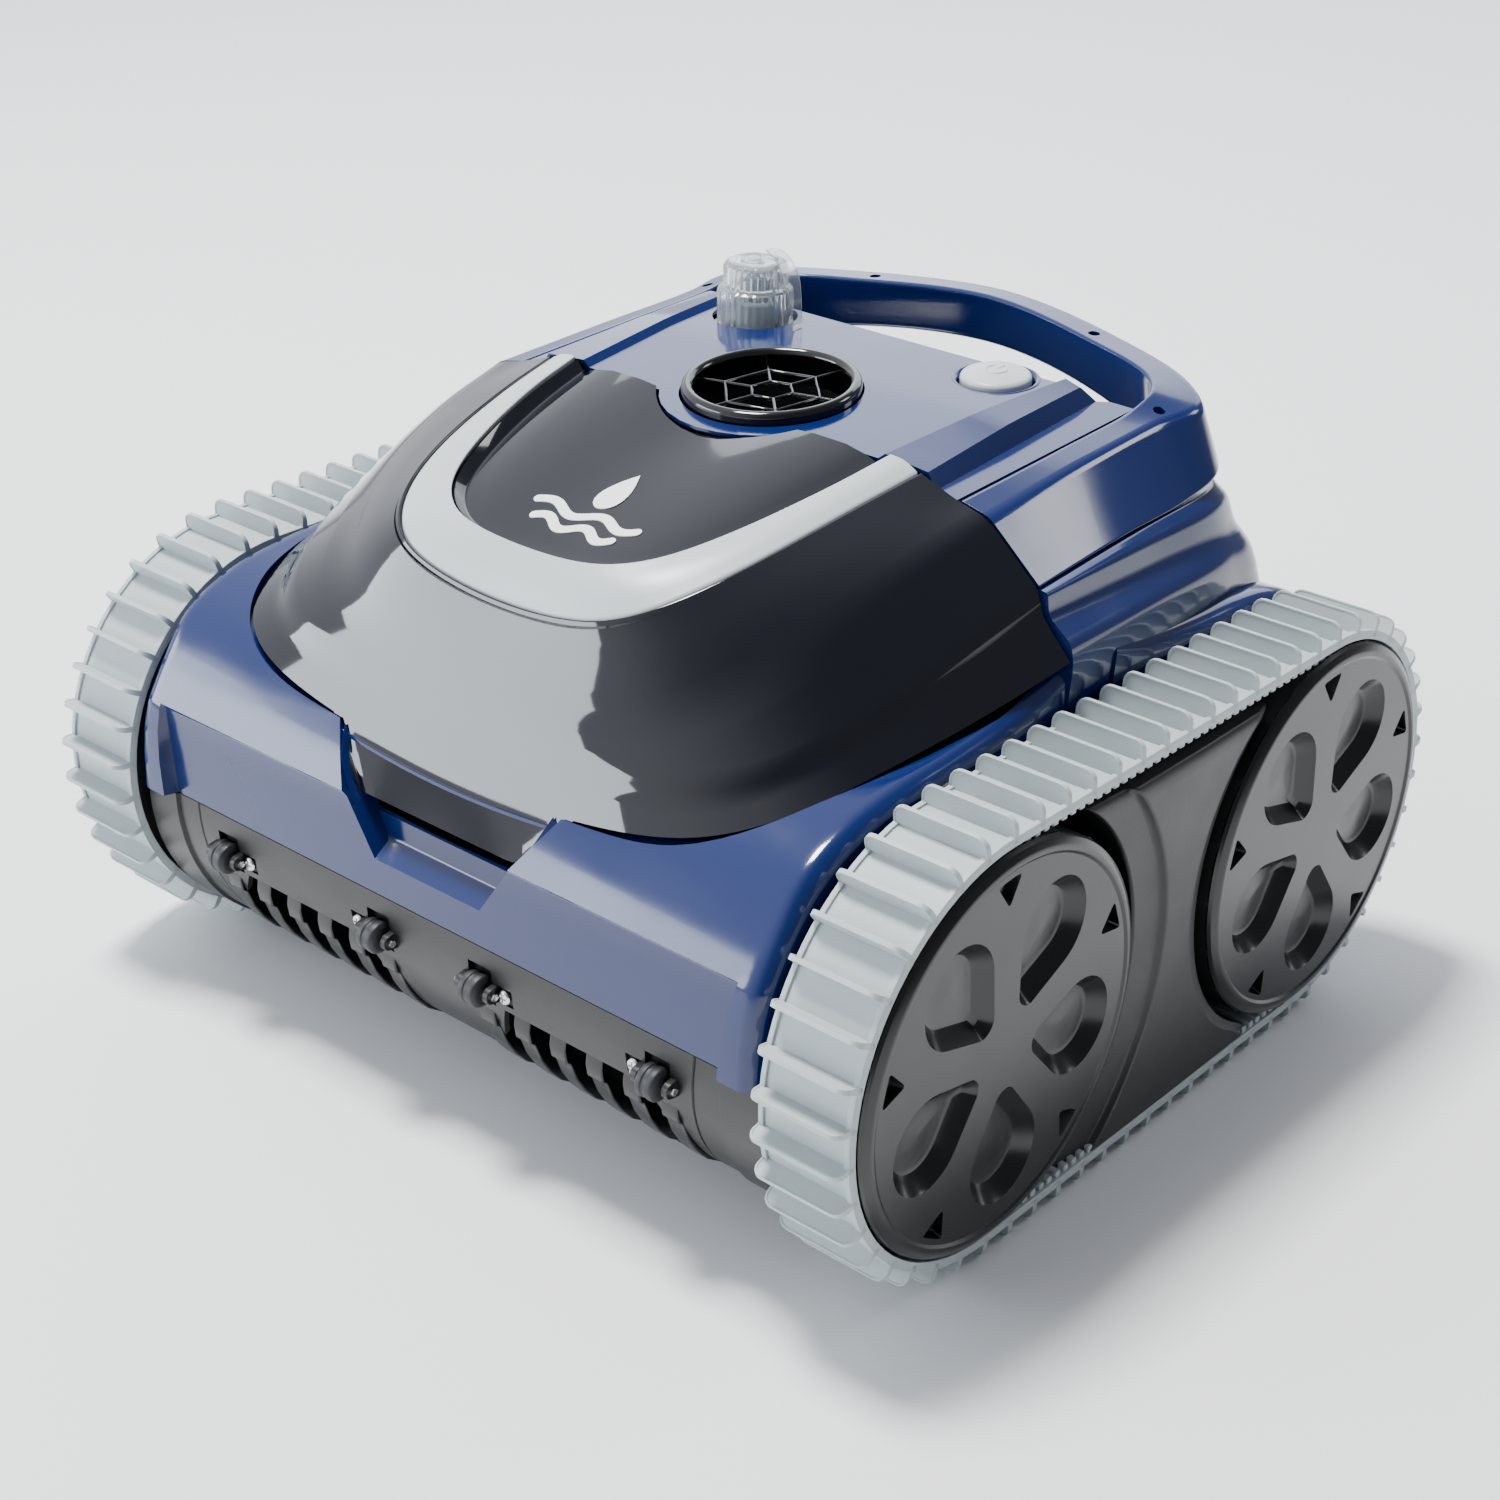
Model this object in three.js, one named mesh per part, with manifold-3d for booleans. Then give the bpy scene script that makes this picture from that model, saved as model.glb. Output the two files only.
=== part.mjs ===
// Cordless tracked pool cleaner: a smoked lid over a filter bay, a navy shell with a carrying
// handle, and two paddled tracks that run round four wheels.
// Millimetres. +Z up, front towards -Y, origin on the ground at the centre of the footprint.
import * as THREE from "three";
import Module from "manifold-3d";

const wasm = await Module();
wasm.setup();

// ---------------------------------------------------------------- driving dimensions
const GAP = 0.3; // clearance between pieces that touch
const SKIN = 3; // moulded wall thickness
const OPEN_END = 10; // how far a hollow runs past the end that it opens

const WHEELBASE = 229.6;
const REACH = WHEELBASE / 2; // wheel axes in front of and behind the middle
const WHEEL_RADIUS = 85; // visible wheel cover
const PADDLE_HEIGHT = 8.4; // paddle tip above the belt
const BELT_INNER = 86;
const BELT_OUTER = 89;
const AXLE_Z = BELT_OUTER + PADDLE_HEIGHT;
const PADDLE_COUNT = 62;
const PADDLE_ROOT = 2.6;
const PADDLE_TIP = 1.5;
const TRACK_INNER_X = 182;
const TRACK_WIDTH = 42;
const TRACK_OUTER_X = TRACK_INNER_X + TRACK_WIDTH;
const COVER_PROUD = 3; // wheel cover outside the track
const AXLE_RADIUS = 6;
const BORE_CLEARANCE = 0.1;

const BODY_HALF = 178; // half width of the shell between the tracks
const SEAM_Z = 98.2; // joint between lower hull and upper shell
const HULL_FLOOR_Z = 14;
const SKIRT_RADIUS = 85.5; // the end skirts curve about the wheel axis
const SKIRT_SWEEP = 66; // degrees from level to the bottom edge of a skirt
const ARCH_TOP_Z = 72;

const ROLLER_RADIUS = 7;
const ROLLER_WIDTH = 10;
const ROLLER_PIN_RADIUS = 1.6;
const ROLLER_PIN_LENGTH = 22;
const ROLLER_Y = -(REACH + 84.2);
const ROLLER_Z = 79.5;
const ROLLER_X = [-125.9, -29.9, 29.9, 125.9];
const SKIRT_SCREW_X = [-113, -43, 43, 113];
const SKIRT_SCREW_RADIUS = 3;

const RIB_PITCH = 19.8;
const RIB_WIDTH = 8.5;
const RIB_FIRST_X = 29.5;
const RIBS_PER_ARCH = 6;

const LID_REAR_Y = -20;
const PANEL_FRONT_Y = LID_REAR_Y + 1.4;
const HINGE_Y = 25;
const HINGE_Z = 255;
const HINGE_X = 103;
const HINGE_PIN_RADIUS = 3;
const ARM_WIDTH = 7;

const OUTLET_Y = 9.7; // centre of the water outlet
const OUTLET_RADIUS = 38.9;
const OUTLET_BEZEL = 9; // panel left around the outlet grille
const DUCT_RADIUS = OUTLET_RADIUS - 1.9;
const DUCT_BOTTOM_Z = 188;
const IMPELLER_RADIUS = 30;
const PUMP_RADIUS = 21;

const BUTTON = { x: 66, y: 80, radius: 15.5, travel: 1.5 };
const PORT = { x: -66, y: 75, collar: 17.5, crown: 15, collarHeight: 17, height: 29 };

const BASKET = { x: 94, front: -132, rear: -36, floor: 20, top: 195, wall: 2.5 };
const INLET = { x: 70, front: -112, rear: -88, top: 66 };
const BAIL_PIVOT_Y = -84;
const BAIL_REACH = 40;
const BAIL_DROP = 6; // the bail's pins below the basket's rim
const BAIL_PIN_RADIUS = 2.5;
const BAIL_THICKNESS = 3;

const DRY_BOX = { x: 108, front: 60, rear: 152, floor: 60, top: 205, wall: 3 };

// ---------------------------------------------------------------- finishes
const finish = (color, roughness, metalness = 0) => ({ color, roughness, metalness });
const NAVY = finish(0x1b3a78, 0.18);
const SMOKE = finish(0x0c0e16, 0.08);
const TRIM_GREY = finish(0xc9d0d2, 0.4);
const TRACK_GREY = finish(0xc3cacb, 0.55);
const BLACK = finish(0x17181a, 0.3);
const HULL_GREY = finish(0x3a3b3e, 0.45);
const CLEAR = finish(0xe6eef2, 0.08);
const STEEL = finish(0xb9bcc0, 0.25, 1);
const MESH_GREY = finish(0x8f979b, 0.5);
const GREEN = finish(0x1f6b45, 0.5);

// ---------------------------------------------------------------- solids
// A manifold solid from points and triangles, turned outwards if it is inside out.
function solidOf(points, triangles) {
  const build = (tris) =>
    new wasm.Manifold(
      new wasm.Mesh({
        numProp: 3,
        vertProperties: new Float32Array(points.flat()),
        triVerts: new Uint32Array(tris.flat()),
      }),
    );
  const made = build(triangles);
  return made.volume() > 0 ? made : build(triangles.map(([a, b, c]) => [a, c, b]));
}

// A manifold solid from any closed three.js geometry.
function fromGeometry(geometry) {
  const source = geometry.index ? geometry.toNonIndexed() : geometry;
  const position = source.getAttribute("position");
  const seen = new Map();
  const points = [];
  const corner = [];
  for (let i = 0; i < position.count; i++) {
    const p = [position.getX(i), position.getY(i), position.getZ(i)];
    const key = p.map((v) => Math.round(v * 1e4)).join();
    if (!seen.has(key)) {
      seen.set(key, points.length);
      points.push(p);
    }
    corner.push(seen.get(key));
  }
  const triangles = [];
  for (let i = 0; i < corner.length; i += 3) {
    const [a, b, c] = corner.slice(i, i + 3);
    if (a !== b && b !== c && a !== c) triangles.push([a, b, c]);
  }
  return solidOf(points, triangles);
}

const place = (geometry, x, y, z) => geometry.translate(x, y, z);
const box = (x0, x1, y0, y1, z0, z1) =>
  fromGeometry(
    place(
      new THREE.BoxGeometry(x1 - x0, y1 - y0, z1 - z0),
      (x0 + x1) / 2,
      (y0 + y1) / 2,
      (z0 + z1) / 2,
    ),
  );

// Prisms: an outline in one plane, drawn out along the axis across it.
const AXES = {
  x: [new THREE.Vector3(0, 1, 0), new THREE.Vector3(0, 0, 1), new THREE.Vector3(1, 0, 0)],
  y: [new THREE.Vector3(0, 0, 1), new THREE.Vector3(1, 0, 0), new THREE.Vector3(0, 1, 0)],
  z: [new THREE.Vector3(1, 0, 0), new THREE.Vector3(0, 1, 0), new THREE.Vector3(0, 0, 1)],
};
function prism(axis, outline, from, to, holes = []) {
  const vector = ([a, b]) => (axis === "y" ? new THREE.Vector2(b, a) : new THREE.Vector2(a, b));
  const shape = new THREE.Shape(outline.map(vector));
  shape.holes = holes.map((hole) => new THREE.Path(hole.map(vector)));
  const geometry = new THREE.ExtrudeGeometry(shape, { depth: to - from, bevelEnabled: false });
  geometry.translate(0, 0, from);
  geometry.applyMatrix4(new THREE.Matrix4().makeBasis(...AXES[axis]));
  return fromGeometry(geometry);
}

const circle = (a, b, radius, sides, turn = 0) =>
  Array.from({ length: sides }, (_, i) => {
    const angle = turn + (2 * Math.PI * i) / sides;
    return [a + radius * Math.cos(angle), b + radius * Math.sin(angle)];
  });
const rod = (axis, a, b, radius, from, to, sides = 20) =>
  prism(axis, circle(a, b, radius, sides), from, to);
const tube = (axis, a, b, outer, inner, from, to, sides = 20) =>
  prism(axis, circle(a, b, outer, sides), from, to, [circle(a, b, inner, sides)]);
const arc = (a, b, radius, start, end, steps) =>
  Array.from({ length: steps + 1 }, (_, i) => {
    const angle = ((start + ((end - start) * i) / steps) * Math.PI) / 180;
    return [a + radius * Math.cos(angle), b + radius * Math.sin(angle)];
  });

const unite = (...solids) => solids.reduce((sum, next) => sum.add(next));
const cut = (solid, ...tools) => tools.reduce((left, tool) => left.subtract(tool), solid);

// Rings of equal length, stacked into one solid and closed at both ends. The caps are worked
// out on the plane that the end rings face.
const PLANES = {
  z: ([x, y]) => new THREE.Vector2(x, y),
  y: ([x, , z]) => new THREE.Vector2(x, z),
};
function loft(rings, axis = "z") {
  const count = rings[0].length;
  const triangles = [];
  for (let i = 0; i < rings.length - 1; i++)
    for (let j = 0; j < count; j++) {
      const k = (j + 1) % count;
      const a = i * count + j;
      const b = i * count + k;
      triangles.push([a, b, b + count], [a, b + count, a + count]);
    }
  const cap = (ring, start, reversed) => {
    const flat = ring.map(PLANES[axis]);
    const along = THREE.ShapeUtils.area(flat) > 0;
    for (const t of THREE.ShapeUtils.triangulateShape([...flat], [])) {
      const turns = THREE.ShapeUtils.area(t.map((i) => flat[i])) > 0;
      const [a, b, c] = t.map((i) => start + i);
      triangles.push(turns === (along !== reversed) ? [a, b, c] : [a, c, b]);
    }
  };
  cap(rings[0], 0, true);
  cap(rings.at(-1), (rings.length - 1) * count, false);
  return solidOf(rings.flat(), triangles);
}

// A grid of points (rows of equal length) and its copy pushed inwards, joined into one sheet.
function sheet(outer, inner) {
  const rows = outer.length;
  const columns = outer[0].length;
  const at = (side, i, j) => side * rows * columns + i * columns + j;
  const triangles = [];
  const quad = (a, b, c, d) => triangles.push([a, b, c], [a, c, d]);
  for (let i = 0; i < rows - 1; i++)
    for (let j = 0; j < columns - 1; j++) {
      quad(at(0, i, j), at(0, i, j + 1), at(0, i + 1, j + 1), at(0, i + 1, j));
      quad(at(1, i, j), at(1, i + 1, j), at(1, i + 1, j + 1), at(1, i, j + 1));
    }
  for (let j = 0; j < columns - 1; j++) {
    quad(at(0, 0, j), at(1, 0, j), at(1, 0, j + 1), at(0, 0, j + 1));
    quad(at(0, rows - 1, j + 1), at(1, rows - 1, j + 1), at(1, rows - 1, j), at(0, rows - 1, j));
  }
  for (let i = 0; i < rows - 1; i++) {
    quad(at(0, i + 1, 0), at(1, i + 1, 0), at(1, i, 0), at(0, i, 0));
    const last = columns - 1;
    quad(at(0, i, last), at(1, i, last), at(1, i + 1, last), at(0, i + 1, last));
  }
  const points = [...outer.flat(), ...inner.flat()];
  const key = (p) => p.map((v) => Math.round(v * 1e3)).join();
  const first = new Map();
  const merged = [];
  const index = points.map((p) => {
    if (!first.has(key(p))) {
      first.set(key(p), merged.length);
      merged.push(p);
    }
    return first.get(key(p));
  });
  const kept = triangles
    .map((t) => t.map((v) => index[v]))
    .filter(([a, b, c]) => a !== b && b !== c && a !== c);
  return solidOf(merged, kept);
}

// A smooth run of points through a few hand-placed ones.
function through(points, steps) {
  const curve = new THREE.CatmullRomCurve3(
    points.map((p) => new THREE.Vector3(...p)),
    false,
    "centripetal",
  );
  return curve.getPoints(steps).map((p) => [p.x, p.y, p.z]);
}

// One ring of the lid: right-hand points from the rear edge to the centre line, mirrored.
const RING_STEPS = 7;
const mirrored = (points) => [
  ...points,
  ...points
    .slice(0, -1)
    .reverse()
    .map(([x, y, z]) => [-x, y, z]),
];
// A level rectangle across the middle, by half width, front, rear and height.
const slot = (half, front, rear, z) => [
  [half, front, z],
  [-half, front, z],
  [-half, rear, z],
  [half, rear, z],
];
const horseshoe = (points) => through(mirrored(points), 2 * RING_STEPS);
const lowered = (ring, drop) => ring.map(([x, y, z]) => [x, y, z - drop]);
// Shrinks a ring towards the middle of the lid and drops it.
const inset = (ring, by, drop) =>
  ring.map(([x, y, z]) => {
    const length = Math.hypot(x, y - LID_REAR_Y) || 1;
    const frontwards = (y - LID_REAR_Y) / length;
    return [x - (x / length) * by, y - frontwards * by, z - drop];
  });

// ---------------------------------------------------------------- the sculpted top
// Lid rings from the trim outwards and down to the edge, then the trim's own inner line.
const TRIM_OUTER = horseshoe([
  [102.7, LID_REAR_Y, 267],
  [97, -63, 259.5],
  [86, -115, 247],
  [66, -147, 234.5],
  [38, -153, 227],
  [0, -153.5, 224],
]);
const TRIM_INNER = horseshoe([
  [87, LID_REAR_Y, 271],
  [80.5, -63, 263],
  [64, -114, 251.5],
  [47, -132, 246.5],
  [29.5, -138.5, 244.5],
  [0, -139, 243],
]);
const SHOULDER = horseshoe([
  [121, LID_REAR_Y, 260.4],
  [116, -64, 253],
  [105, -113, 239],
  [82, -151, 220],
  [47, -159.5, 212],
  [0, -161, 209],
]);
const RIDGE = horseshoe([
  [136, LID_REAR_Y, 257],
  [133, -65, 246],
  [124, -112, 228],
  [98, -154, 203],
  [55, -166, 197],
  [0, -168, 195],
]);
const CREASE = horseshoe([
  [162.4, LID_REAR_Y, 234.3],
  [158, -66, 222],
  [150, -113, 206],
  [124, -163, 189],
  [65, -172, 184],
  [0, -173, 183],
]);
const FLANGE_ROOT = horseshoe([
  [165, LID_REAR_Y, 224.3],
  [160, -66, 213],
  [153, -113, 201],
  [129, -166, 182.5],
  [67, -175, 176.5],
  [0, -176, 175],
]);
const LID_EDGE = horseshoe([
  [179.5, LID_REAR_Y, 211],
  [169, -67, 197.5],
  [165, -110, 194.5],
  [140, -173, 178],
  [75, -181, 163.5],
  [0, -184, 158],
]);
const LID_SKIN = 2.6;

// Inward copy of the lid's rings, far enough along each surface normal to give it a wall.
function thickened(grid, wall) {
  const at = (i, j) => {
    const row = grid[Math.max(0, Math.min(grid.length - 1, i))];
    return new THREE.Vector3(...row[Math.max(0, Math.min(row.length - 1, j))]);
  };
  return grid.map((row, i) =>
    row.map((point, j) => {
      const across = at(i + 1, j).sub(at(i - 1, j));
      const along = at(i, j + 1).sub(at(i, j - 1));
      const normal = across.cross(along).normalize();
      if (normal.z < 0) normal.negate();
      const rear = j === 0 || j === row.length - 1;
      if (rear) normal.setY(0).normalize();
      return new THREE.Vector3(...point).addScaledVector(normal, -wall).toArray();
    }),
  );
}

const outletNotch = (clearance) =>
  rod("z", 0, OUTLET_Y, OUTLET_RADIUS + OUTLET_BEZEL + clearance, 240, 290, 28);

const TRIM_SEAT = 5; // depth of the recess that holds the trim and the inner panel
function lidShell() {
  const middle = horseshoe([
    [44, LID_REAR_Y, 265.5],
    [42, -42, 262],
    [34, -64, 258.5],
    [24, -76, 256.5],
    [12, -82, 255.5],
    [0, -84, 255],
  ]).map(([x, y, z]) => [x, y, z - TRIM_SEAT]);
  const centre = middle.map(() => [0, LID_REAR_Y, 266 - TRIM_SEAT]);
  const rings = [
    centre,
    middle,
    lowered(TRIM_INNER, TRIM_SEAT + 2),
    inset(TRIM_OUTER, 1.5, TRIM_SEAT),
    TRIM_OUTER,
    SHOULDER,
    RIDGE,
    CREASE,
    FLANGE_ROOT,
    LID_EDGE,
  ];
  const skin = sheet(rings, thickened(rings, LID_SKIN));
  const tongue = loft([
    slot(65, -180, SKIN - 180, 166),
    slot(61, -183.6, SKIN - 183.6, 159),
    slot(46.5, -190.5, SKIN - 190.5, 138),
  ]);
  const arms = [-1, 1].map((side) => {
    const outline = [
      [-33, 262],
      [-35, 240],
      [-28, 218],
      [-8, 206],
      [4, 205],
      [20, 226],
      ...arc(HINGE_Y, HINGE_Z, HINGE_PIN_RADIUS + 3.5, -35, 150, 6),
      [17, 240],
      [2, 216],
      [-5, 214],
      [-24, 224],
      [-28.5, 241],
      [-28, 262],
    ];
    const middleX = side * HINGE_X;
    const arm = prism("x", outline, middleX - ARM_WIDTH / 2, middleX + ARM_WIDTH / 2);
    return cut(arm, hingeBore(side, BORE_CLEARANCE));
  });
  return cut(unite(skin, tongue, ...arms), outletNotch(1.4));
}
const hingeBore = (side, clearance) =>
  rod(
    "x",
    HINGE_Y,
    HINGE_Z,
    HINGE_PIN_RADIUS + clearance,
    side * HINGE_X - OPEN_END,
    side * HINGE_X + OPEN_END,
  );

// Band of light trim between its two lines, seated in the lid's recess.
function lidTrim() {
  const outer = inset(TRIM_OUTER, 2.2, -0.6);
  const inner = TRIM_INNER;
  return sheet([inner, outer], [lowered(inner, 3.4), lowered(outer, 3.4)]);
}

const PANEL_TOP_Z = 268.5;
const PANEL_CROWN = 0.55; // how far half way in the panel has risen to its top
function lidPanel() {
  const edge = inset(TRIM_INNER, 1.2, 2);
  const middle = edge.map(([x, y, z]) => [
    x * 0.5,
    (LID_REAR_Y + y) * 0.5,
    z * (1 - PANEL_CROWN) + PANEL_TOP_Z * PANEL_CROWN,
  ]);
  const centre = edge.map(() => [0, LID_REAR_Y, 269]);
  const rings = [centre, middle, edge];
  return cut(sheet(rings, rings.map((ring) => lowered(ring, 2.2))), outletNotch(1.4));
}

// Half outlines of the rear body at six levels, from the front edge round to the centre line.
const TOWER_Y = -18.5;
const level = (points) => through(mirrored(points), 12);
const REAR_LEVELS = [
  [[177, TOWER_Y, 160], [175, 60, 160], [170, 130, 160], [160, 168, 160], [120, 186, 160], [0, 188, 160]],
  [[180, TOWER_Y, 207], [173, 60, 201], [166, 125, 196], [156, 160, 191], [116, 179, 187], [0, 183, 185]],
  [[178.6, TOWER_Y, 215.5], [172, 60, 210], [164, 125, 204], [153, 158, 200], [114, 175, 196], [0, 178, 194]],
  [[167, TOWER_Y, 224.3], [163, 60, 218], [157, 130, 212], [146, 154, 209], [112, 168, 206], [0, 171, 204]],
  [[165.7, TOWER_Y, 233.6], [160, 60, 230], [153, 130, 225], [142, 151, 222], [110, 163, 219], [0, 166, 216]],
  [[161.5, TOWER_Y, 233.8], [155, 60, 232.5], [147, 130, 230], [136, 146, 229], [108, 156, 228], [0, 160, 226]],
];
function rearTower(wall, lift) {
  return loft(
    REAR_LEVELS.map((points, i) =>
      level(points).map(([x, y, z], j, all) => {
        const shrink = wall / Math.hypot(x, y - TOWER_Y);
        const front = j === 0 || j === all.length - 1;
        const last = i === REAR_LEVELS.length - 1;
        return [
          x * (1 - shrink),
          front ? y - (wall ? OPEN_END : 0) : y - (y - TOWER_Y) * shrink,
          z + (i === 0 ? -lift : 0) + (last ? lift : 0),
        ];
      }),
    ),
  );
}

// Side view of the shell between the tracks: it follows the tracks at both ends.
function shellOutline(wall) {
  const end = [
    [REACH + 81.7, SEAM_Z],
    [REACH + 81.2, 138.6],
    [REACH + 73.2, 153],
    [REACH + 58.2, 172],
    [REACH + 33.2, 184],
    [REACH + 3.2, 190],
    [40, 193],
  ].map(([y, z]) => [y - wall, z === SEAM_Z && wall ? z - 3 * OPEN_END : z - wall]);
  return [...end, ...[...end].reverse().map(([y, z]) => [-y, z])];
}

function lidOpening(clearance) {
  const widest = BODY_HALF - SKIN - 1;
  const edge = LID_EDGE.map(([x, y]) => [
    Math.max(-widest, Math.min(widest, x + Math.sign(x) * clearance)),
    y > LID_REAR_Y - 1 ? LID_REAR_Y + 1 : y - clearance,
  ]);
  return prism("z", edge, 140, 300);
}

function axleHoles(radius) {
  return [-1, 1].map((end) => rod("x", end * REACH, AXLE_Z, radius, -200, 200, 16));
}

function bodyShell() {
  const block = prism("x", shellOutline(0), -BODY_HALF, BODY_HALF);
  const hollow = prism("x", shellOutline(SKIN), SKIN - BODY_HALF, BODY_HALF - SKIN);
  const tower = rearTower(0, 0);
  const cavity = rearTower(SKIN, 30);
  const fingerNotch = loft([
    slot(71, -REACH - 90.2, -150, 170),
    slot(48.5, -REACH - 90.2, -186, 137),
    slot(31, -REACH - 90.2, -192, 114),
  ]);
  const notchWall = loft([
    slot(68, -180, -174, 166),
    slot(52, -184.5, -178, 137),
    slot(36, -192, -186, 108),
  ]);
  const shell = cut(unite(block, tower), hollow, cavity, lidOpening(1.2), fingerNotch);
  const ledge = box(-30, 30, -194.5, -180, 108, 113.6);
  const pocket = cut(unite(notchWall, ledge), lidOpening(1.2), lidSweep());
  return cut(unite(shell, pocket), ...axleHoles(AXLE_RADIUS + GAP));
}
// Space that the lid's tongue passes through as it lifts.
const lidSweep = () => box(-70, 70, -178, -120, 150, 200);

// Top deck between the lid and the handle: half sections from the front to the rear.
const DECK_SIDE_X = 115; // outside this the deck's edge leans in
const DECK_SIDE_DRAFT = 1.5;
function deckSection(y, points) {
  const outer = points.map(([x, z]) => [x, y, z]);
  const inner = points
    .map(([x, z]) => [x - (x > DECK_SIDE_X ? DECK_SIDE_DRAFT : 0), y, z - SKIN])
    .reverse();
  const flip = (list) => [...list].reverse().map(([x, , z]) => [-x, y, z]);
  return [...flip(outer), ...outer, ...inner, ...flip(inner)];
}
const DECK_STATIONS = [
  [PANEL_FRONT_Y, [[40, 266.6], [79, 266.6], [84, 267], [102, 264.5], [107, 261.5], [119.5, 258.6]]],
  [PANEL_FRONT_Y + 5, [[40, 267.8], [79, 268], [84, 270.3], [102, 267.6], [107, 262.8], [119.4, 260]]],
  [40, [[40, 271.6], [78, 271.6], [84, 274], [102, 271.5], [107, 266.5], [118.5, 262]]],
  [84, [[40, 272.6], [76, 272.6], [82, 274.5], [99, 272.5], [104, 267.5], [117.5, 263.5]]],
];
const DECK_Z = 272; // deck surface round the button and the port
const CHEEK_X = 75; // where the deck's rear slope hands over to its corner pieces
function topPanel() {
  const plate = loft(DECK_STATIONS.map(([y, points]) => deckSection(y, points)), "y");
  const bulge = prism(
    "z",
    circle(0, OUTLET_Y, OUTLET_RADIUS + OUTLET_BEZEL, 28),
    265.4,
    268.4,
  );
  const apron = prism(
    "x",
    [[80, 272], [93, 272.4], [106, 238], [138, 231.5], [138, 229], [103, 234.5], [90, 269.4], [80, 269]],
    -CHEEK_X - 1,
    CHEEK_X + 1,
  );
  const cheeks = [-1, 1].map((side) => {
    const ring = (y, z, farX, farY, farZ) => [
      [side * CHEEK_X, y, z],
      [side * farX, farY, farZ],
      [side * farX, farY - SKIN, farZ],
      [side * CHEEK_X, y - SKIN, z],
    ];
    return loft([ring(107, 232, 119, 107, 232), ring(88, DECK_Z, 117, 86, DECK_Z - 9)]);
  });
  const holes = [
    rod("z", 0, OUTLET_Y, OUTLET_RADIUS + GAP, 250, 290, 28),
    rod("z", BUTTON.x, BUTTON.y, BUTTON.radius + 3.2, 255, 290, 20),
    rod("z", PORT.x, PORT.y, PORT.collar + 1.6, 255, 290, 20),
  ];
  const floor = prism("x", [[101, 237], [158, 229.5], [158, 226], [101, 233.5]], -145, 145);
  const rearDeck = floor.intersect(rearTower(SKIN + GAP, 30));
  return cut(unite(plate, bulge, apron, rearDeck, ...cheeks), ...holes);
}

// Handle shell: an angle section along both sides that closes up into the grip at the back.
const HANDLE_PATH = [
  // seam to the deck, ridge, lower seam
  [[121, TOWER_Y, 260], [136, TOWER_Y, 257], [162, TOWER_Y, 234.6]],
  [[120.2, 50, 263.3], [134, 50, 261], [156, 50, 234]],
  [[119.6, 100, 266], [134, 104, 263], [151.5, 104, 232.5]],
  [[117, 122, 269.5], [137, 132, 264.5], [147.5, 134, 236]],
  [[105, 136, 270.5], [122, 146, 268.5], [131, 153, 240]],
  [[68, 150, 273], [84, 162, 272], [88, 168, 248]],
  [[0, 163, 276.5], [0, 178, 276.5], [0, 182, 252.5]],
];
const HANDLE_PITS = [
  // screw pits in the handle's top band: x, y and floor
  [128.3, 112.5, 261],
  [62.7, 159.1, 267],
];
const PIT_RADIUS = 2.6;
const GRIP_FROM = 4; // the path point where the angle section has become the grip
function handleShell() {
  const inner = HANDLE_PATH.map(([deck, ridge, seam], i) => {
    const grip = Math.min(1, Math.max(0, (i - 2) / (GRIP_FROM - 2)));
    const mix = (a, b) => a.map((v, k) => v * (1 - grip) + b[k] * grip);
    const thinSeam = [seam[0] - SKIN, seam[1], seam[2]];
    const thinRidge = [ridge[0] - 2, ridge[1], ridge[2] - SKIN];
    const thinDeck = [deck[0], deck[1], deck[2] - SKIN];
    const fullSeam = [seam[0] * 0.985, seam[1] - 3, seam[2] - 1];
    const fullRidge = [deck[0] * 1.01, deck[1] + 6, seam[2] - 1];
    const fullDeck = [deck[0] * 1.01, deck[1] + 2.5, seam[2] + 0.5];
    return [mix(thinSeam, fullSeam), mix(thinRidge, fullRidge), mix(thinDeck, fullDeck)];
  });
  const rings = HANDLE_PATH.map((outer, i) => [...outer, ...inner[i]]);
  const lines = rings[0].map((_, k) => through(mirrored(rings.map((ring) => ring[k])), 28));
  const all = lines[0].map((_, i) => lines.map((line) => line[i]));
  const count = all[0].length;
  const triangles = [];
  for (let i = 0; i < all.length - 1; i++)
    for (let j = 0; j < count; j++) {
      const k = (j + 1) % count;
      const a = i * count + j;
      const b = i * count + k;
      triangles.push([a, b, b + count], [a, b + count, a + count]);
    }
  const last = (all.length - 1) * count;
  for (const [a, b, c] of [[0, 1, 5], [1, 4, 5], [1, 2, 4], [2, 3, 4]]) {
    triangles.push([a, c, b], [last + a, last + b, last + c]);
  }
  const screws = HANDLE_PITS.flatMap(([x, y, floor]) =>
    [-1, 1].map((side) => rod("z", side * x, y, PIT_RADIUS, floor, 290, 12)),
  );
  return cut(solidOf(all.flat(), triangles), ...screws);
}

// ---------------------------------------------------------------- lower hull and skirts
function skirtArc(end, radius) {
  const centre = -end * REACH;
  const points = arc(0, AXLE_Z, radius, 180, 180 + SKIRT_SWEEP, 6);
  return points.map(([y, z]) => [centre + end * y, z]);
}
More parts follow.
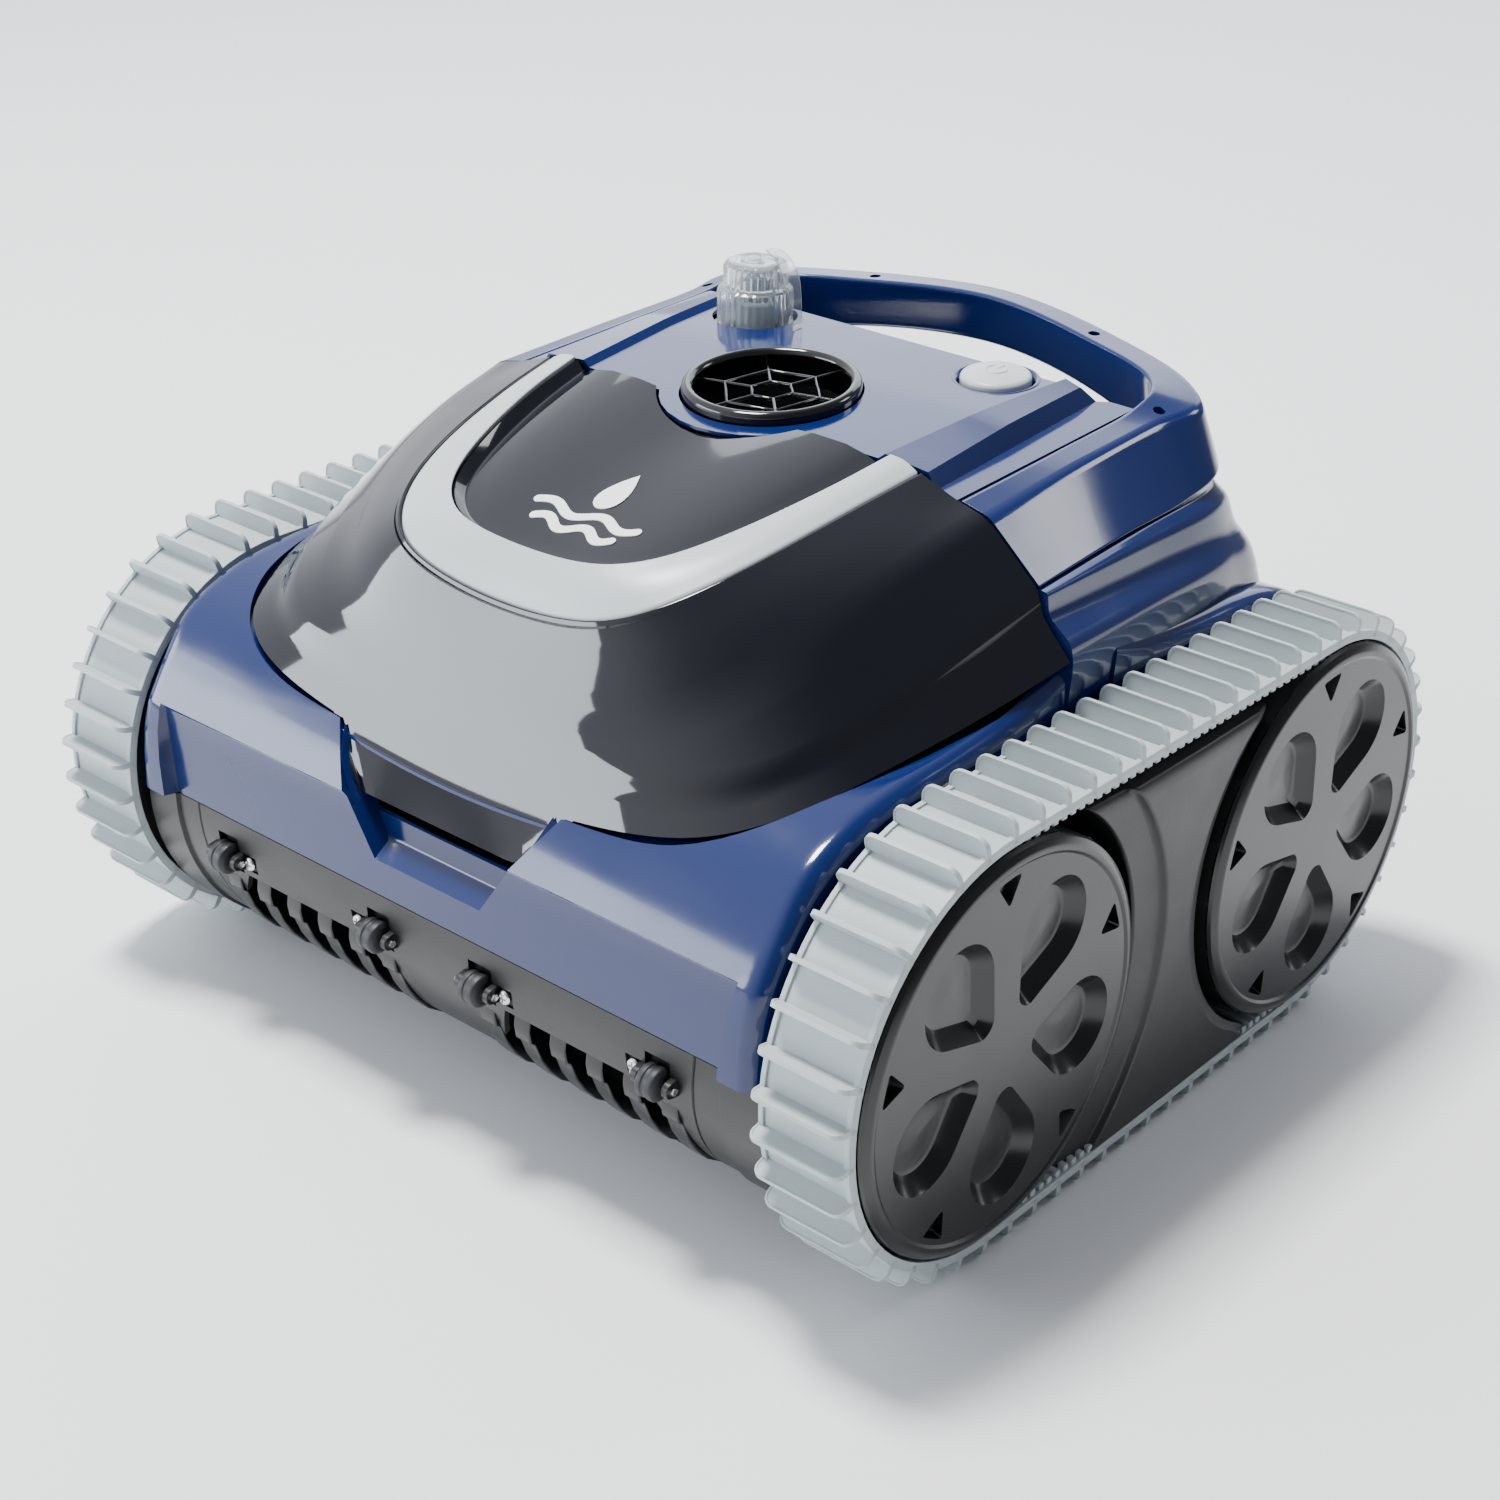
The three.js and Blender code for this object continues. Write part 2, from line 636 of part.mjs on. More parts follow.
// end is 1 at the front and -1 at the rear
function skirtBand(end, outer, inner, halfWidth) {
  const outside = skirtArc(end, outer);
  const inside = skirtArc(end, inner).reverse();
  return prism("x", [...outside, ...inside], -halfWidth, halfWidth);
}
const archCut = (end, clearance = 0) => {
  const c = clearance;
  const outline = [
    [41.3 + c, ARCH_TOP_Z - c],
    [116.4 - c, ARCH_TOP_Z - c],
    [138 - c, 36],
    [150 - c, 10],
    [18 + c, 10],
    [27 + c, 36],
  ];
  const y0 = end > 0 ? -REACH - 115.2 : REACH + 5.2;
  return [1, -1].map((side) => prism("y", outline.map(([x, z]) => [side * x, z]), y0, y0 + 110));
};
const HULL_SKIRT_RADIUS = 73; // the hull's own curved ends, behind the skirts
const LIP_TOP_Z = 60; // the skirt is thicker below this height
// Everything between two heights.
const slab = (low, high) => box(-200, 200, -260, 260, low, high);
function skirt(end) {
  const band = skirtBand(end, SKIRT_RADIUS - 3.2, SKIRT_RADIUS - 3.2 - SKIN, BODY_HALF - GAP);
  const lip = skirtBand(end, SKIRT_RADIUS, SKIRT_RADIUS - 5, BODY_HALF - GAP);
  const above = slab(LIP_TOP_Z, SEAM_Z + 20);
  return cut(unite(band, cut(lip, above)), ...archCut(end));
}
const POCKET_ROOM = 1.5; // space each side of a guide roller
const POCKET_HALF = 9.5; // half height of the opening for a guide roller
const EAR_HALF = 3.2; // half height of the ears that hold a roller's pin
function rollerPocket(x) {
  const half = ROLLER_WIDTH / 2 + POCKET_ROOM;
  return box(x - half, x + half, ROLLER_Y - 16, ROLLER_Y + 11, ROLLER_Z - POCKET_HALF, ROLLER_Z + POCKET_HALF);
}
function frontSkirt() {
  const ears = ROLLER_X.flatMap((x) =>
    [-1, 1].map((side) => {
      const near = x + side * (ROLLER_WIDTH / 2 + POCKET_ROOM);
      const far = x + side * (ROLLER_PIN_LENGTH / 2 + 1);
      const front = ROLLER_Y - EAR_HALF;
      const [low, high] = [ROLLER_Z - EAR_HALF, ROLLER_Z + EAR_HALF];
      return box(Math.min(near, far), Math.max(near, far), front, ROLLER_Y + 6, low, high);
    }),
  );
  const reach = ROLLER_PIN_LENGTH / 2 + GAP;
  const bore = ROLLER_PIN_RADIUS + BORE_CLEARANCE;
  const pins = ROLLER_X.map((x) => rod("x", ROLLER_Y, ROLLER_Z, bore, x - reach, x + reach, 12));
  const screwHoles = SKIRT_SCREW_X.map((x) =>
    rod("y", x, ROLLER_Z, SKIRT_SCREW_RADIUS + GAP, ROLLER_Y - 16, ROLLER_Y + 14, 10),
  );
  return cut(cut(skirt(1), ...ROLLER_X.map(rollerPocket)).add(unite(...ears)), ...pins, ...screwHoles);
}

function comb(end) {
  const backing = skirtBand(end, 77, 74.5, 146);
  const ribs = [];
  for (const side of [-1, 1])
    for (let i = 0; i < RIBS_PER_ARCH; i++) {
      const x = side * (RIB_FIRST_X + i * RIB_PITCH);
      const outline = [
        ...skirtArc(end, 80.6).slice(2, 4),
        ...skirtArc(end, 84.4).slice(3, 6),
        ...skirtArc(end, 76).slice(2, 6).reverse(),
      ];
      ribs.push(prism("x", outline, x - RIB_WIDTH / 2, x + RIB_WIDTH / 2));
    }
  const above = slab(ARCH_TOP_Z, SEAM_Z + 20);
  const [left, right] = archCut(end, 2 * GAP);
  return unite(cut(backing, above), ...ribs.map((rib) => rib.intersect(unite(left, right))));
}

const FOOT_RADIUS = 11; // rounded runner feet under the hull
const FOOT_X = 100;
const FOOT_Y = 131;
const FOOT_Z = 19;
function lowerHull() {
  const profile = (shrink) => [
    ...arc(-REACH, AXLE_Z, HULL_SKIRT_RADIUS - shrink, 180, 250, 5),
    [-138, HULL_FLOOR_Z + shrink],
    [138, HULL_FLOOR_Z + shrink],
    ...arc(REACH, AXLE_Z, HULL_SKIRT_RADIUS - shrink, 290, 360, 5),
  ];
  const half = BODY_HALF - 1;
  const raise = (points, z) => [...points, [points.at(-1)[0], z], [points[0][0], z]];
  const outside = prism("x", raise(profile(0), SEAM_Z - GAP), -half, half);
  const inside = prism("x", raise(profile(SKIN), SEAM_Z + 20), SKIN - half, half - SKIN);
  const inlet = box(-INLET.x, INLET.x, INLET.front, INLET.rear, 0, 40);
  const feet = [-1, 0, 1].flatMap((column) =>
    [-1, 1].map((end) => {
      const ball = new THREE.SphereGeometry(FOOT_RADIUS, 8, 5);
      return cut(fromGeometry(place(ball, column * FOOT_X, end * FOOT_Y, FOOT_Z)), inside);
    }),
  );
  return cut(unite(cut(outside, inside), ...feet), inlet, ...axleHoles(AXLE_RADIUS + GAP));
}

// ---------------------------------------------------------------- tracks, wheels and side plates
function stadium(radius, steps = 14) {
  const half = REACH;
  return [
    ...arc(half, AXLE_Z, radius, -90, 90, steps),
    ...arc(-half, AXLE_Z, radius, 90, 270, steps),
  ];
}
// Point and outward direction at a share of the way round the belt.
function beltStation(share) {
  const half = REACH;
  const curved = Math.PI * BELT_OUTER;
  const total = 2 * WHEELBASE + 2 * curved;
  let run = share * total;
  if (run < WHEELBASE) return [half - run, AXLE_Z - BELT_OUTER, 0, -1];
  run -= WHEELBASE;
  const turned = (angle, centre) => {
    const [ny, nz] = [Math.cos(angle), Math.sin(angle)];
    return [centre + BELT_OUTER * ny, AXLE_Z + BELT_OUTER * nz, ny, nz];
  };
  if (run < curved) return turned(-Math.PI / 2 - run / BELT_OUTER, -half);
  run -= curved;
  if (run < WHEELBASE) return [run - half, AXLE_Z + BELT_OUTER, 0, 1];
  run -= WHEELBASE;
  return turned(Math.PI / 2 - run / BELT_OUTER, half);
}
function track(side) {
  const outline = Array.from({ length: PADDLE_COUNT }, (_, i) => {
    const [y, z, ny, nz] = beltStation((i + 0.5) / PADDLE_COUNT);
    const at = (along, out) => [y + nz * along + ny * out, z - ny * along + nz * out];
    return [
      at(-PADDLE_ROOT / 2, 0),
      at(-PADDLE_TIP / 2, PADDLE_HEIGHT),
      at(PADDLE_TIP / 2, PADDLE_HEIGHT),
      at(PADDLE_ROOT / 2, 0),
    ];
  }).flat();
  const [near, far] = side > 0 ? [TRACK_INNER_X, TRACK_OUTER_X] : [-TRACK_OUTER_X, -TRACK_INNER_X];
  return prism("x", outline, near, far, [stadium(BELT_INNER)]);
}

const WHEEL_RIM = BELT_INNER - 0.7; // clears the belt
const WHEEL_INNER_X = TRACK_INNER_X + 3;
const WEB_X = 212;
function lathedX(profile, y, side, sides = 20) {
  // profile runs [distance from the centre plane, radius]
  const points = profile.map(([x, r]) => new THREE.Vector2(r, x));
  const geometry = new THREE.LatheGeometry(points, sides);
  geometry.applyMatrix4(new THREE.Matrix4().makeBasis(AXES.x[0], AXES.x[2], AXES.x[1]));
  geometry.translate(0, y, AXLE_Z);
  const made = fromGeometry(geometry);
  return side > 0 ? made : made.mirror([1, 0, 0]);
}
function wheel(y, side) {
  const bore = AXLE_RADIUS + BORE_CLEARANCE;
  const edge = TRACK_OUTER_X - 0.6;
  const profile = [
    [WHEEL_INNER_X, bore],
    [WHEEL_INNER_X, 15],
    [WEB_X - 4, 17],
    [WEB_X - 4, WHEEL_RIM - 5],
    [WHEEL_INNER_X, WHEEL_RIM - 5],
    [WHEEL_INNER_X, WHEEL_RIM],
    [edge, WHEEL_RIM],
    [edge, WHEEL_RIM - 3],
    [WEB_X, WHEEL_RIM - 4],
    [WEB_X, bore],
    [WHEEL_INNER_X, bore],
  ];
  return lathedX(profile, y, side);
}
const PETALS = 5;
function wheelCover(y, side) {
  const face = TRACK_OUTER_X + COVER_PROUD;
  const profile = [
    [WEB_X + 2 * GAP, 0],
    [WEB_X + 2 * GAP, WHEEL_RIM - 5],
    [TRACK_OUTER_X - 0.3, WHEEL_RIM - 5],
    [TRACK_OUTER_X - 0.3, WHEEL_RADIUS],
    [face - 1.5, WHEEL_RADIUS],
    [face, WHEEL_RADIUS - 2],
    [face, 0],
  ];
  const disc = lathedX(profile, y, 1, 24);
  const pockets = Array.from({ length: PETALS }, (_, i) => {
    const turn = (2 * Math.PI * i) / PETALS + Math.PI / 2;
    const petal = [[16, 0], [50, -23], [70, -16], [70, 16], [50, 23]].map(([r, w]) => [
      y + r * Math.cos(turn) - w * Math.sin(turn),
      AXLE_Z + r * Math.sin(turn) + w * Math.cos(turn),
    ]);
    return prism("x", petal, face - 7, face + 5);
  });
  const made = cut(disc, ...pockets);
  return side > 0 ? made : made.mirror([1, 0, 0]);
}
function axle(y, side) {
  const shaft = rod("x", y, AXLE_Z, AXLE_RADIUS, 166, WEB_X, 20);
  const collar = rod("x", y, AXLE_Z, AXLE_RADIUS + 5, 162, 173.5, 16);
  const made = unite(shaft, collar);
  return side > 0 ? made : made.mirror([1, 0, 0]);
}

const PLATE_CLEARANCE = 2.5; // between a side plate and the wheel covers
const PLATE_HALF_HEIGHT = 74;
const PLATE_INNER_X = 208;
const POST_RISE = 45; // the two posts that carry a plate, above and below the axles
const POST_HALF_HEIGHT = 12;
const POST_HALF_LENGTH = 17;
function sidePlate(side) {
  const clear = WHEEL_RADIUS + PLATE_CLEARANCE;
  const half = REACH;
  const bend = (Math.asin(PLATE_HALF_HEIGHT / clear) * 180) / Math.PI;
  const waist = [
    ...arc(-half, AXLE_Z, clear, -bend, bend, 12),
    ...arc(half, AXLE_Z, clear, 180 - bend, 180 + bend, 12),
  ];
  const plate = prism("x", waist, PLATE_INNER_X, TRACK_OUTER_X - 2);
  const posts = [-1, 1].map((row) => {
    const z = AXLE_Z + row * POST_RISE;
    const [low, high] = [z - POST_HALF_HEIGHT, z + POST_HALF_HEIGHT];
    return box(BODY_HALF + GAP, PLATE_INNER_X + 1, -POST_HALF_LENGTH, POST_HALF_LENGTH, low, high);
  });
  const made = unite(plate, ...posts);
  return side > 0 ? made : made.mirror([1, 0, 0]);
}

// ---------------------------------------------------------------- outlet, pump, button and port
const GRILLE_BAR_HALF = 1.3; // half the width of a bar
const GRILLE_RINGS = [
  // inner and outer radius of each ring of openings, and whether it ends at the rim
  [12.4, 22, false],
  [25, OUTLET_RADIUS - 5, true],
];
// A round rim, and bars in two hexagons with six spokes.
function outletGrille() {
  const holes = [circle(0, OUTLET_Y, 9.4, 6, Math.PI / 6)];
  const at = (radius, angle, toward) => [
    radius * Math.cos(angle) - toward * GRILLE_BAR_HALF * Math.sin(angle),
    OUTLET_Y + radius * Math.sin(angle) + toward * GRILLE_BAR_HALF * Math.cos(angle),
  ];
  for (const [inner, outer, round] of GRILLE_RINGS)
    for (let i = 0; i < 6; i++) {
      const a = Math.PI / 6 + (i * Math.PI) / 3;
      const b = a + Math.PI / 3;
      const bow = round ? [2 / 3, 1 / 3].map((t) => at(outer, a + (b - a) * t, 0)) : [];
      holes.push([at(inner, a, 1), at(inner, b, -1), at(outer, b, -1), ...bow, at(outer, a, 1)]);
    }
  const edge = OUTLET_RADIUS - 0.2;
  const web = prism("z", circle(0, OUTLET_Y, edge, 28), 268, 272, holes);
  return unite(web, tube("z", 0, OUTLET_Y, edge, OUTLET_RADIUS - 5, 266, 275.5, 28));
}
const FIN_HALF = 1.5; // half the thickness of a fin between the duct and the pump
const outletDuct = () =>
  unite(
    tube("z", 0, OUTLET_Y, DUCT_RADIUS, DUCT_RADIUS - 2.5, DUCT_BOTTOM_Z, 265, 32),
    ...[0, 1, 2].map((i) => {
      const angle = (i * 2 * Math.PI) / 3 + Math.PI / 2;
      const near = PUMP_RADIUS + GAP;
      const far = DUCT_RADIUS - 1;
      const outline = [[near, -FIN_HALF], [far, -FIN_HALF], [far, FIN_HALF], [near, FIN_HALF]];
      const turned = outline.map(([r, w]) => [
        r * Math.cos(angle) - w * Math.sin(angle),
        OUTLET_Y + r * Math.sin(angle) + w * Math.cos(angle),
      ]);
      return prism("z", turned, DUCT_BOTTOM_Z, DUCT_BOTTOM_Z + 10);
    }),
  );
const pumpMotor = () =>
  unite(
    rod("z", 0, OUTLET_Y, PUMP_RADIUS, 100, 199, 24),
    rod("z", 0, OUTLET_Y, 3, 198, 232, 24),
    box(-26, 26, OUTLET_Y - 26, OUTLET_Y + 26, HULL_FLOOR_Z + SKIN + GAP, 101),
  );
function impeller() {
  const hub = tube("z", 0, OUTLET_Y, 11, 3 + BORE_CLEARANCE, 203, 228, 24);
  const blades = [0, 1, 2, 3].map((i) => {
    const turn = (i * Math.PI) / 2;
    const ring = (r, tilt, thick) =>
      [[-tilt, 206], [-tilt + thick, 206], [tilt + thick, 225], [tilt, 225]].map(([w, z]) => [
        r * Math.cos(turn) - w * Math.sin(turn),
        OUTLET_Y + r * Math.sin(turn) + w * Math.cos(turn),
        z,
      ]);
    const rings = [ring(9, 5, 2.4), ring(21, 8, 2), ring(IMPELLER_RADIUS, 11, 1.6)];
    const points = rings.flat();
    const triangles = [];
    for (let k = 0; k < 2; k++)
      for (let j = 0; j < 4; j++) {
        const n = (j + 1) % 4;
        triangles.push([k * 4 + j, k * 4 + n, k * 4 + n + 4], [k * 4 + j, k * 4 + n + 4, k * 4 + j + 4]);
      }
    triangles.push([1, 0, 2], [2, 0, 3], [8, 9, 10], [8, 10, 11]);
    return solidOf(points, triangles);
  });
  return unite(hub, ...blades);
}

function powerButton() {
  const { x, y, radius } = BUTTON;
  const profile = [
    [0, DECK_Z - 16],
    [4, DECK_Z - 16],
    [4, DECK_Z - 6],
    [radius, DECK_Z - 6],
    [radius, DECK_Z + 2],
    [radius - 2.5, DECK_Z + 4],
    [0, DECK_Z + 5],
  ].map(([r, z]) => new THREE.Vector2(r, z));
  const geometry = new THREE.LatheGeometry(profile, 20);
  geometry.rotateX(Math.PI / 2);
  return fromGeometry(place(geometry, x, y, 0));
}
const buttonCup = () => {
  const { x, y, radius, travel } = BUTTON;
  const bottom = DECK_Z - 6 - travel - GAP;
  return unite(
    tube("z", x, y, radius + 2.9, radius + 0.4, bottom - 2, DECK_Z - 0.4),
    tube("z", x, y, radius + 2.9, 4 + GAP, bottom - 2, bottom),
  );
};
const chargeSocket = () =>
  unite(
    tube("z", PORT.x, PORT.y, PORT.collar + 1.3, PORT.crown - 4, DECK_Z - 12, DECK_Z - 3.4),
    tube("z", PORT.x, PORT.y, PORT.crown - 2.4, PORT.crown - 5, DECK_Z - 12, DECK_Z + 9),
    rod("z", PORT.x, PORT.y, PORT.crown - 3, DECK_Z - 14, DECK_Z - 10),
    ...[-4, 4].map((shift) => rod("z", PORT.x + shift, PORT.y, 1.5, DECK_Z - 11, DECK_Z + 2, 8)),
  );
function portCap() {
  const { x, y, collar, crown, collarHeight, height } = PORT;
  const foot = DECK_Z - 2.8;
  const outside = unite(
    rod("z", x, y, collar, foot, foot + collarHeight),
    rod("z", x, y, crown, foot + collarHeight - 1, foot + height),
    tube("z", x, y, 9, 6.5, foot + height - 1, foot + height + 2, 14),
  );
  return cut(outside, rod("z", x, y, crown - 1.8, foot - 1, foot + height - 3));
}
function capStrap() {
  const { x, y, collar } = PORT;
  const line = [
    [collar + 9, 0],
    [collar + 6, 16],
    [collar + 1.6, 27],
    [collar - 6, 32],
    [collar - 12, 31.5],
  ];
  const thick = 0.9;
  const outline = [...line, ...line.map(([a, b]) => [a - thick * 0.8, b - thick]).reverse()];
  outline[0] = [collar + 9, -1.2];
  outline[outline.length - 1] = [collar + 8, -1.2];
  return prism("y", outline.map(([a, b]) => [x + a, DECK_Z + 2.2 + b]), y - 5, y + 5);
}

// ---------------------------------------------------------------- filter bay and dry side
const WINDOW_Z = [80, 180]; // the filter windows' lower and upper edge
function filterBasket() {
  const { x, front, rear, floor, top, wall } = BASKET;
  const outer = box(-x, x, front, rear, floor, top);
  const hollow = box(wall - x, x - wall, front + wall, rear - wall, floor + wall, top + OPEN_END);
  const lip = 2;
  const throatOuter = box(
    -INLET.x - lip,
    INLET.x + lip,
    INLET.front - lip,
    INLET.rear + lip,
    floor,
    INLET.top,
  );
  const bore = 4;
  const throat = box(
    bore - INLET.x,
    INLET.x - bore,
    INLET.front + bore,
    INLET.rear - bore,
    floor - OPEN_END,
    INLET.top + OPEN_END,
  );
  const windows = [];
  for (let i = 0; i < 3; i++) {
    const left = -78 + i * 54;
    windows.push(box(left, left + 48, front - 5, front + 5, ...WINDOW_Z));
    windows.push(box(left, left + 48, rear - 5, rear + 5, ...WINDOW_Z));
  }
  for (let i = 0; i < 3; i++) {
    const near = front + 10 + i * 33;
    windows.push(box(-x - 5, 5 - x, near, near + 26, ...WINDOW_Z));
    windows.push(box(x - 5, x + 5, near, near + 26, ...WINDOW_Z));
  }
  const ears = [-1, 1].map((side) => {
    const ends = [side * (x - 1), side * (x + 4)].sort((a, b) => a - b);
    return rod("x", BAIL_PIVOT_Y, top - BAIL_DROP, BAIL_PIN_RADIUS, ...ends, 16);
  });
  return cut(unite(cut(outer, hollow), throatOuter, ...ears), throat, ...windows);
}
function basketHandle() {
  const { x, top } = BASKET;
  const z = top - BAIL_DROP;
  const tip = BAIL_PIVOT_Y + BAIL_REACH;
  const half = 3.5;
  const parts = [-1, 1].map((side) => {
    const near = side > 0 ? x + 0.4 : -x - 0.4 - BAIL_THICKNESS;
    const far = near + BAIL_THICKNESS;
    const arm = box(near, far, BAIL_PIVOT_Y, tip, z - half, z + half);
    const eye = rod("x", BAIL_PIVOT_Y, z, 5.5, near, far, 20);
    const rise = box(near, far, tip - 7, tip, z - half, top + 5);
    const bore = rod("x", BAIL_PIVOT_Y, z, BAIL_PIN_RADIUS + BORE_CLEARANCE, near - 2, far + 3, 16);
    return cut(unite(arm, eye, rise), bore);
  });
  const reach = x + 0.4 + BAIL_THICKNESS;
  return unite(...parts, box(-reach, reach, tip - 9, tip, top + 0.6, top + 5));
}
const inletFlap = () => {
  const half = INLET.x - 6;
  return box(-half, half, INLET.front + 0.5, INLET.rear - 0.5, INLET.top + GAP, INLET.top + 2.3);
};

const dryBox = () => {
  const { x, front, rear, floor, top, wall } = DRY_BOX;
  const hollow = box(wall - x, x - wall, front + wall, rear - wall, floor + wall, top + OPEN_END);
  return cut(box(-x, x, front, rear, floor, top), hollow);
};
const batteryPack = () => {
  const { x, front, rear, floor } = DRY_BOX;
  return box(14 - x, x - 14, front + 6, rear - 8, floor + 4, floor + 92);
};
const controlBoard = () => {
  const { x, front, rear, floor } = DRY_BOX;
  return unite(
    box(12 - x, x - 12, front + 8, rear - 8, floor + 110, floor + 112),
    box(-40, -10, front + 20, front + 50, floor + 111, floor + 122),
    box(20, 60, front + 25, front + 40, floor + 111, floor + 130),
  );
};
const driveMotor = (side) => {
  const made = unite(
    rod("x", REACH, AXLE_Z, 19, 112, 158, 24),
    rod("x", REACH, AXLE_Z, 4, 157, 161.5, 16),
  );
  return side > 0 ? made : made.mirror([1, 0, 0]);
};

function roller(x) {
  const half = ROLLER_WIDTH / 2;
  const bore = ROLLER_PIN_RADIUS + BORE_CLEARANCE;
  return tube("x", ROLLER_Y, ROLLER_Z, ROLLER_RADIUS, bore, x - half, x + half, 14);
}
const rollerPin = (x) =>
  rod("x", ROLLER_Y, ROLLER_Z, ROLLER_PIN_RADIUS, x - ROLLER_PIN_LENGTH / 2, x + ROLLER_PIN_LENGTH / 2, 12);
const skirtScrew = (x) =>
  unite(
    rod("y", x, ROLLER_Z, SKIRT_SCREW_RADIUS, ROLLER_Y + 1.8, ROLLER_Y + 3.6, 10),
    rod("y", x, ROLLER_Z, SKIRT_SCREW_RADIUS / 2, ROLLER_Y + 3, ROLLER_Y + 10, 8),
  );
const HINGE_PIN_HALF = 7; // half the length of a hinge pin
const hingePin = (side) => {
  const x = side * HINGE_X;
  return rod("x", HINGE_Y, HINGE_Z, HINGE_PIN_RADIUS, x - HINGE_PIN_HALF, x + HINGE_PIN_HALF);
};

// ---------------------------------------------------------------- the assembly
const poolCleaner = new THREE.Group();
function add(name, solid, look, parent = poolCleaner) {
  const made = solid.getMesh();
  const geometry = new THREE.BufferGeometry();
  geometry.setAttribute("position", new THREE.BufferAttribute(new Float32Array(made.vertProperties), 3));
  geometry.setIndex(new THREE.BufferAttribute(new Uint32Array(made.triVerts), 1));
  geometry.computeVertexNormals();
  const mesh = new THREE.Mesh(geometry, new THREE.MeshStandardMaterial(look));
  mesh.name = name;
  parent.add(mesh);
}

add("body_shell", bodyShell(), NAVY);
add("top_panel", topPanel(), NAVY);
add("handle_shell", handleShell(), NAVY);
add("lid", lidShell(), SMOKE);
add("lid_trim", lidTrim(), TRIM_GREY);
add("lid_panel", lidPanel(), SMOKE);
add("lower_hull", lowerHull(), HULL_GREY);
add("front_skirt", frontSkirt(), HULL_GREY);
add("rear_skirt", skirt(-1), HULL_GREY);
add("front_comb", comb(1), BLACK);
add("rear_comb", comb(-1), BLACK);
for (const [label, side] of [["left", -1], ["right", 1]]) {
  add("track_" + label, track(side), TRACK_GREY);
  add("side_plate_" + label, sidePlate(side), HULL_GREY);
  add("lid_hinge_pin_" + label, hingePin(side), STEEL);
  add("drive_motor_" + label, driveMotor(side), BLACK);
  for (const [end, y] of [["front", -REACH], ["rear", REACH]]) {
    add(`wheel_${end}_${label}`, wheel(y, side), BLACK);
    add(`wheel_cover_${end}_${label}`, wheelCover(y, side), BLACK);
    add(`axle_${end}_${label}`, axle(y, side), STEEL);
  }
}
ROLLER_X.forEach((x, i) => {
  add(`guide_roller_${i + 1}`, roller(x), BLACK);
  add(`roller_pin_${i + 1}`, rollerPin(x), STEEL);
});
SKIRT_SCREW_X.forEach((x, i) => add(`skirt_screw_${i + 1}`, skirtScrew(x), STEEL));
add("outlet_grille", outletGrille(), BLACK);
add("outlet_duct", outletDuct(), BLACK);
add("impeller", impeller(), MESH_GREY);
add("pump_motor", pumpMotor(), BLACK);
add("power_button", powerButton(), TRIM_GREY);
add("button_cup", buttonCup(), NAVY);
add("charge_socket", chargeSocket(), BLACK);
add("port_cap", portCap(), CLEAR);
add("cap_strap", capStrap(), CLEAR);
add("filter_basket", filterBasket(), MESH_GREY);
add("basket_handle", basketHandle(), MESH_GREY);
add("inlet_flap", inletFlap(), BLACK);
add("dry_box", dryBox(), BLACK);
add("battery_pack", batteryPack(), BLACK);
add("control_board", controlBoard(), GREEN);

export default poolCleaner;
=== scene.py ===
"""Cordless tracked pool cleaner: the finished surfaces of every piece, built round its working frame."""

import math

import bmesh
import bpy
import numpy as np
from mathutils import Matrix, Vector
from mathutils.geometry import tessellate_polygon


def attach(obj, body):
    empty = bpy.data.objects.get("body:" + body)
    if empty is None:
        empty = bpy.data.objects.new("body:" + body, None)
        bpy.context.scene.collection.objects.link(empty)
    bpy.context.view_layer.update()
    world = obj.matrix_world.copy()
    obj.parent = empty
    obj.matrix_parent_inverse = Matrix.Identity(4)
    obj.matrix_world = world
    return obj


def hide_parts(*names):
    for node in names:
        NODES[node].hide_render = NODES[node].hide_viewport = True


bl_info = {
    "name": "Pool cleaner",
    "version": (1, 0, 0),
    "blender": (4, 5, 0),
    "location": "View3D > Sidebar > Pool cleaner",
    "description": "Builds a tracked pool cleaner with its finishes round a working frame",
    "category": "Add Mesh",
}

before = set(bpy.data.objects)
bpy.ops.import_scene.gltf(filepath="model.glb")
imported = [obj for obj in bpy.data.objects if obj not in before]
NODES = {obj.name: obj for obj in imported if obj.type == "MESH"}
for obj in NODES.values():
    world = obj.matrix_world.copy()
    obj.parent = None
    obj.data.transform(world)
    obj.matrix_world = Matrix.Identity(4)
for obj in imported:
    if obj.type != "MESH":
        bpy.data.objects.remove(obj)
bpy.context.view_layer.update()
MM = 0.001

# ---------------------------------------------------------------- main sizes, in millimetres
WHEELBASE = 229.6
AXLE_Z = 97.4
WHEEL_RADIUS = 85.0
BELT_INNER = 86.0
BELT_OUTER = 89.0
PADDLE_HEIGHT = 8.4
PADDLE_COUNT = 62
TRACK_INNER_X = 182.0
TRACK_OUTER_X = 224.0
COVER_FACE_X = 227.0
BODY_HALF = 178.0
SEAM_Z = 98.2
LID_REAR_Y = -20.0
TOWER_FRONT_Y = -18.6
OUTLET_Y = 9.7
OUTLET_RADIUS = 38.9
OUTLET_BEZEL = 9.0
OUTLET_TILT = math.radians(4.2)
BUTTON = (66.0, 80.0)
BUTTON_RADIUS = 15.5
PORT = (-66.0, 75.0)
HINGE_Y = 25.0
HINGE_Z = 255.0
HINGE_X = 103.0
ROLLER_X = (-125.9, -29.9, 29.9, 125.9)
ROLLER_Y = -199.0
ROLLER_Z = 79.5
SKIRT_SCREW_X = (-113.0, -43.0, 43.0, 113.0)
ARCH_TOP_Z = 72.0
NOTCH_BOTTOM = (30.4, 114.3)
NOTCH_TOP = (64.3, 163.6)

